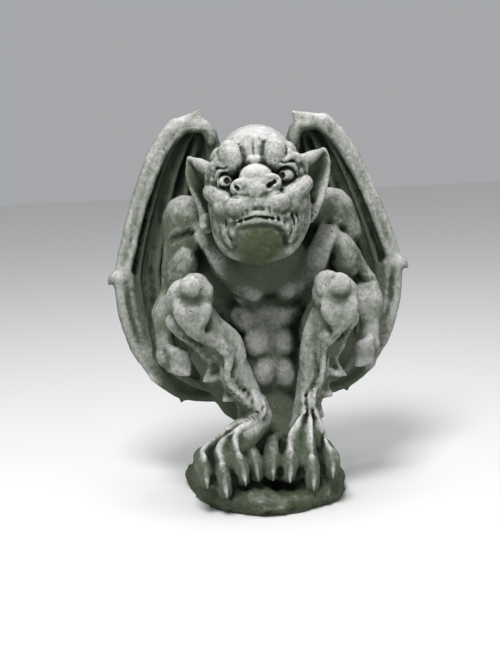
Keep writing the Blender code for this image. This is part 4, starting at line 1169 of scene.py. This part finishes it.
def makeStone():
    material = bpy.data.materials.new("weatheredStone")
    material.use_nodes = True
    tree = material.node_tree
    link = tree.links.new
    shader = tree.nodes["Principled BSDF"]
    shader.location = (1100, 0)
    shader.inputs["Specular IOR Level"].default_value = 0.28
    where = addNode(tree, "TexCoord", (-1300, 0))
    grain = addNode(tree, "Group", (-800, -300), node_tree=stoneGrainGroup())
    growthAndShade = addNode(tree, "Group", (-800, 200), node_tree=growthAndShadeGroup())
    link(where.outputs["Object"], grain.inputs["Vector"])
    link(where.outputs["Object"], growthAndShade.inputs["Vector"])
    masks = {}
    for i, name in enumerate(("hollow", "shade", "crease", "dampShade", "oliveShade")):
        node = addNode(tree, "Attribute", (-1300, 700 - 200 * i), attribute_name=name)
        masks[name] = node.outputs["Fac"]
    for name in ("hollow", "shade", "crease", "dampShade"):
        link(masks[name], growthAndShade.inputs[name.capitalize()])
    crust = addRange(tree, (-1050, -420), 0.0, 1.0, 0.35, 1.5)
    link(masks["dampShade"], crust.inputs["Value"])
    link(crust.outputs["Result"], grain.inputs["Crust"])
    tone = addRange(tree, (-500, -100), 0.35, 0.95, 0.0, 0.62)
    link(grain.outputs["Speckle"], tone.inputs["Value"])
    colour = None
    # mixed in turn: stone tone, green growth with painted shade, olive with painted shade, then painted shade
    # in creases, hollows and pin holes
    for i, (share, name) in enumerate((
            (tone.outputs["Result"], "grey"), (growthAndShade.outputs["GrowthAndShade"], "green"), (masks["oliveShade"], "oliveShade"),
            (growthAndShade.outputs["CreaseShade"], "deep"), (grain.outputs["Pits"], "deep"))):
        mix = addNode(tree, "Mix", (-250 + 250 * i, 100), data_type="RGBA")      # colours go in at 6 and 7
        link(share, mix.inputs[0])
        if colour:
            link(colour, mix.inputs[6])
        else:
            mix.inputs[6].default_value = stoneLook["pale"]
        mix.inputs[7].default_value = stoneLook[name]
        colour = mix.outputs[2]
    link(colour, shader.inputs["Base Color"])
    rough = addRange(tree, (500, -200), 0.0, 1.0, 0.78, 0.96)
    link(growthAndShade.outputs["GrowthAndShade"], rough.inputs["Value"])
    link(rough.outputs["Result"], shader.inputs["Roughness"])
    bump = addNode(tree, "Bump", (750, -300),
                   {"Strength": stoneLook["bump"], "Distance": stoneLook["bumpDepth"]})
    link(grain.outputs["Height"], bump.inputs["Height"])
    link(bump.outputs["Normal"], shader.inputs["Normal"])
    return material


# camera, floor and lights

view = {"turn": -9.0, "rise": 10.0, "roll": 2.0, "away": 2.0, "lens": 83.1, "aim": (-0.009, 0.032, 0.199)}


def placeCamera():
    turn, rise, roll = (math.radians(view[name]) for name in ("turn", "rise", "roll"))
    back = Vector((math.sin(turn) * math.cos(rise), -math.cos(turn) * math.cos(rise), math.sin(rise)))
    right = (-back).cross(Vector((0, 0, 1))).normalized()
    up = right.cross(-back)
    tipped = right * math.cos(roll) - up * math.sin(roll)
    upright = up * math.cos(roll) + right * math.sin(roll)
    bpy.ops.object.camera_add()
    camera = bpy.context.object
    camera.name = "camera"
    camera.data.lens = view["lens"]
    camera.data.sensor_width = 36
    camera.data.clip_start = 0.05
    placed = Matrix((tipped, upright, back)).transposed().to_4x4()
    placed.translation = Vector(view["aim"]) + back * view["away"]
    camera.matrix_world = placed
    bpy.context.scene.camera = camera


studio = {
    "lamps": (("key", (-0.5, -1.15, 2.05), 0.7, 47.0), ("fill", (1.9, -1.3, 0.8), 1.6, 5.0),
              ("top", (0.1, 0.3, 2.3), 1.2, 12.0)),      # name, place, size and power
    "lampAim": (0, 0, 0.28),
    "floor": (0.82, 0.82, 0.81, 1.0), "floorSize": 9.0,
    "sky": (0.95, 0.97, 1.0, 1.0), "skyStrength": 0.4,
}


def placeStudio():
    deselectAll()
    bpy.ops.mesh.primitive_plane_add(size=studio["floorSize"], location=(0, 0, -0.0004))
    floor = bpy.context.object
    floor.name = "floor"
    paint = bpy.data.materials.new("floorPaint")
    paint.use_nodes = True
    shader = paint.node_tree.nodes["Principled BSDF"]
    shader.inputs["Base Color"].default_value = studio["floor"]
    shader.inputs["Roughness"].default_value = 0.9
    floor.data.materials.append(paint)
    for name, place, size, power in studio["lamps"]:
        bpy.ops.object.light_add(type="AREA", location=place)
        lamp = bpy.context.object
        lamp.name = name
        lamp.data.size = size
        lamp.data.energy = power
        aim = Vector(studio["lampAim"]) - Vector(place)
        lamp.rotation_euler = aim.to_track_quat("-Z", "Y").to_euler()
    world = bpy.data.worlds.new("studio")
    bpy.context.scene.world = world
    world.use_nodes = True
    sky = world.node_tree.nodes["Background"]
    sky.inputs["Color"].default_value = studio["sky"]
    sky.inputs["Strength"].default_value = studio["skyStrength"]
    bpy.context.scene.view_settings.view_transform = "Standard"


def buildGargoyle():
    masses = blockOut()
    print("masses melted")
    piece = layForms(masses)
    piece.name = "carvedGargoyle"
    print("forms laid on,", len(piece.data.polygons), "faces")
    skin = Skin(piece)
    cutBody(skin)
    cutBelly(skin)
    cutFeet(skin)
    cutFins(skin)
    cutWings(skin)
    skin.settle()
    skin.soften([(*faceSpot(side, *place), wide) for side in sides for *place, wide in softFlesh], 14)
    cutFace(skin)
    cutEars(skin)
    roughen(skin)
    skin.settle()
    print("carving cut")
    thinOut(piece, melting["triangles"])
    cutUnderside(piece)
    bpy.ops.object.shade_smooth()
    paintMasks(piece)
    print("masks painted")
    piece.data.materials.clear()
    piece.data.materials.append(makeStone())
    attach(piece, "root")
    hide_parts("gargoyle")
    return piece


gargoyle = buildGargoyle()
placeCamera()
placeStudio()
print("camera, floor and lights placed")
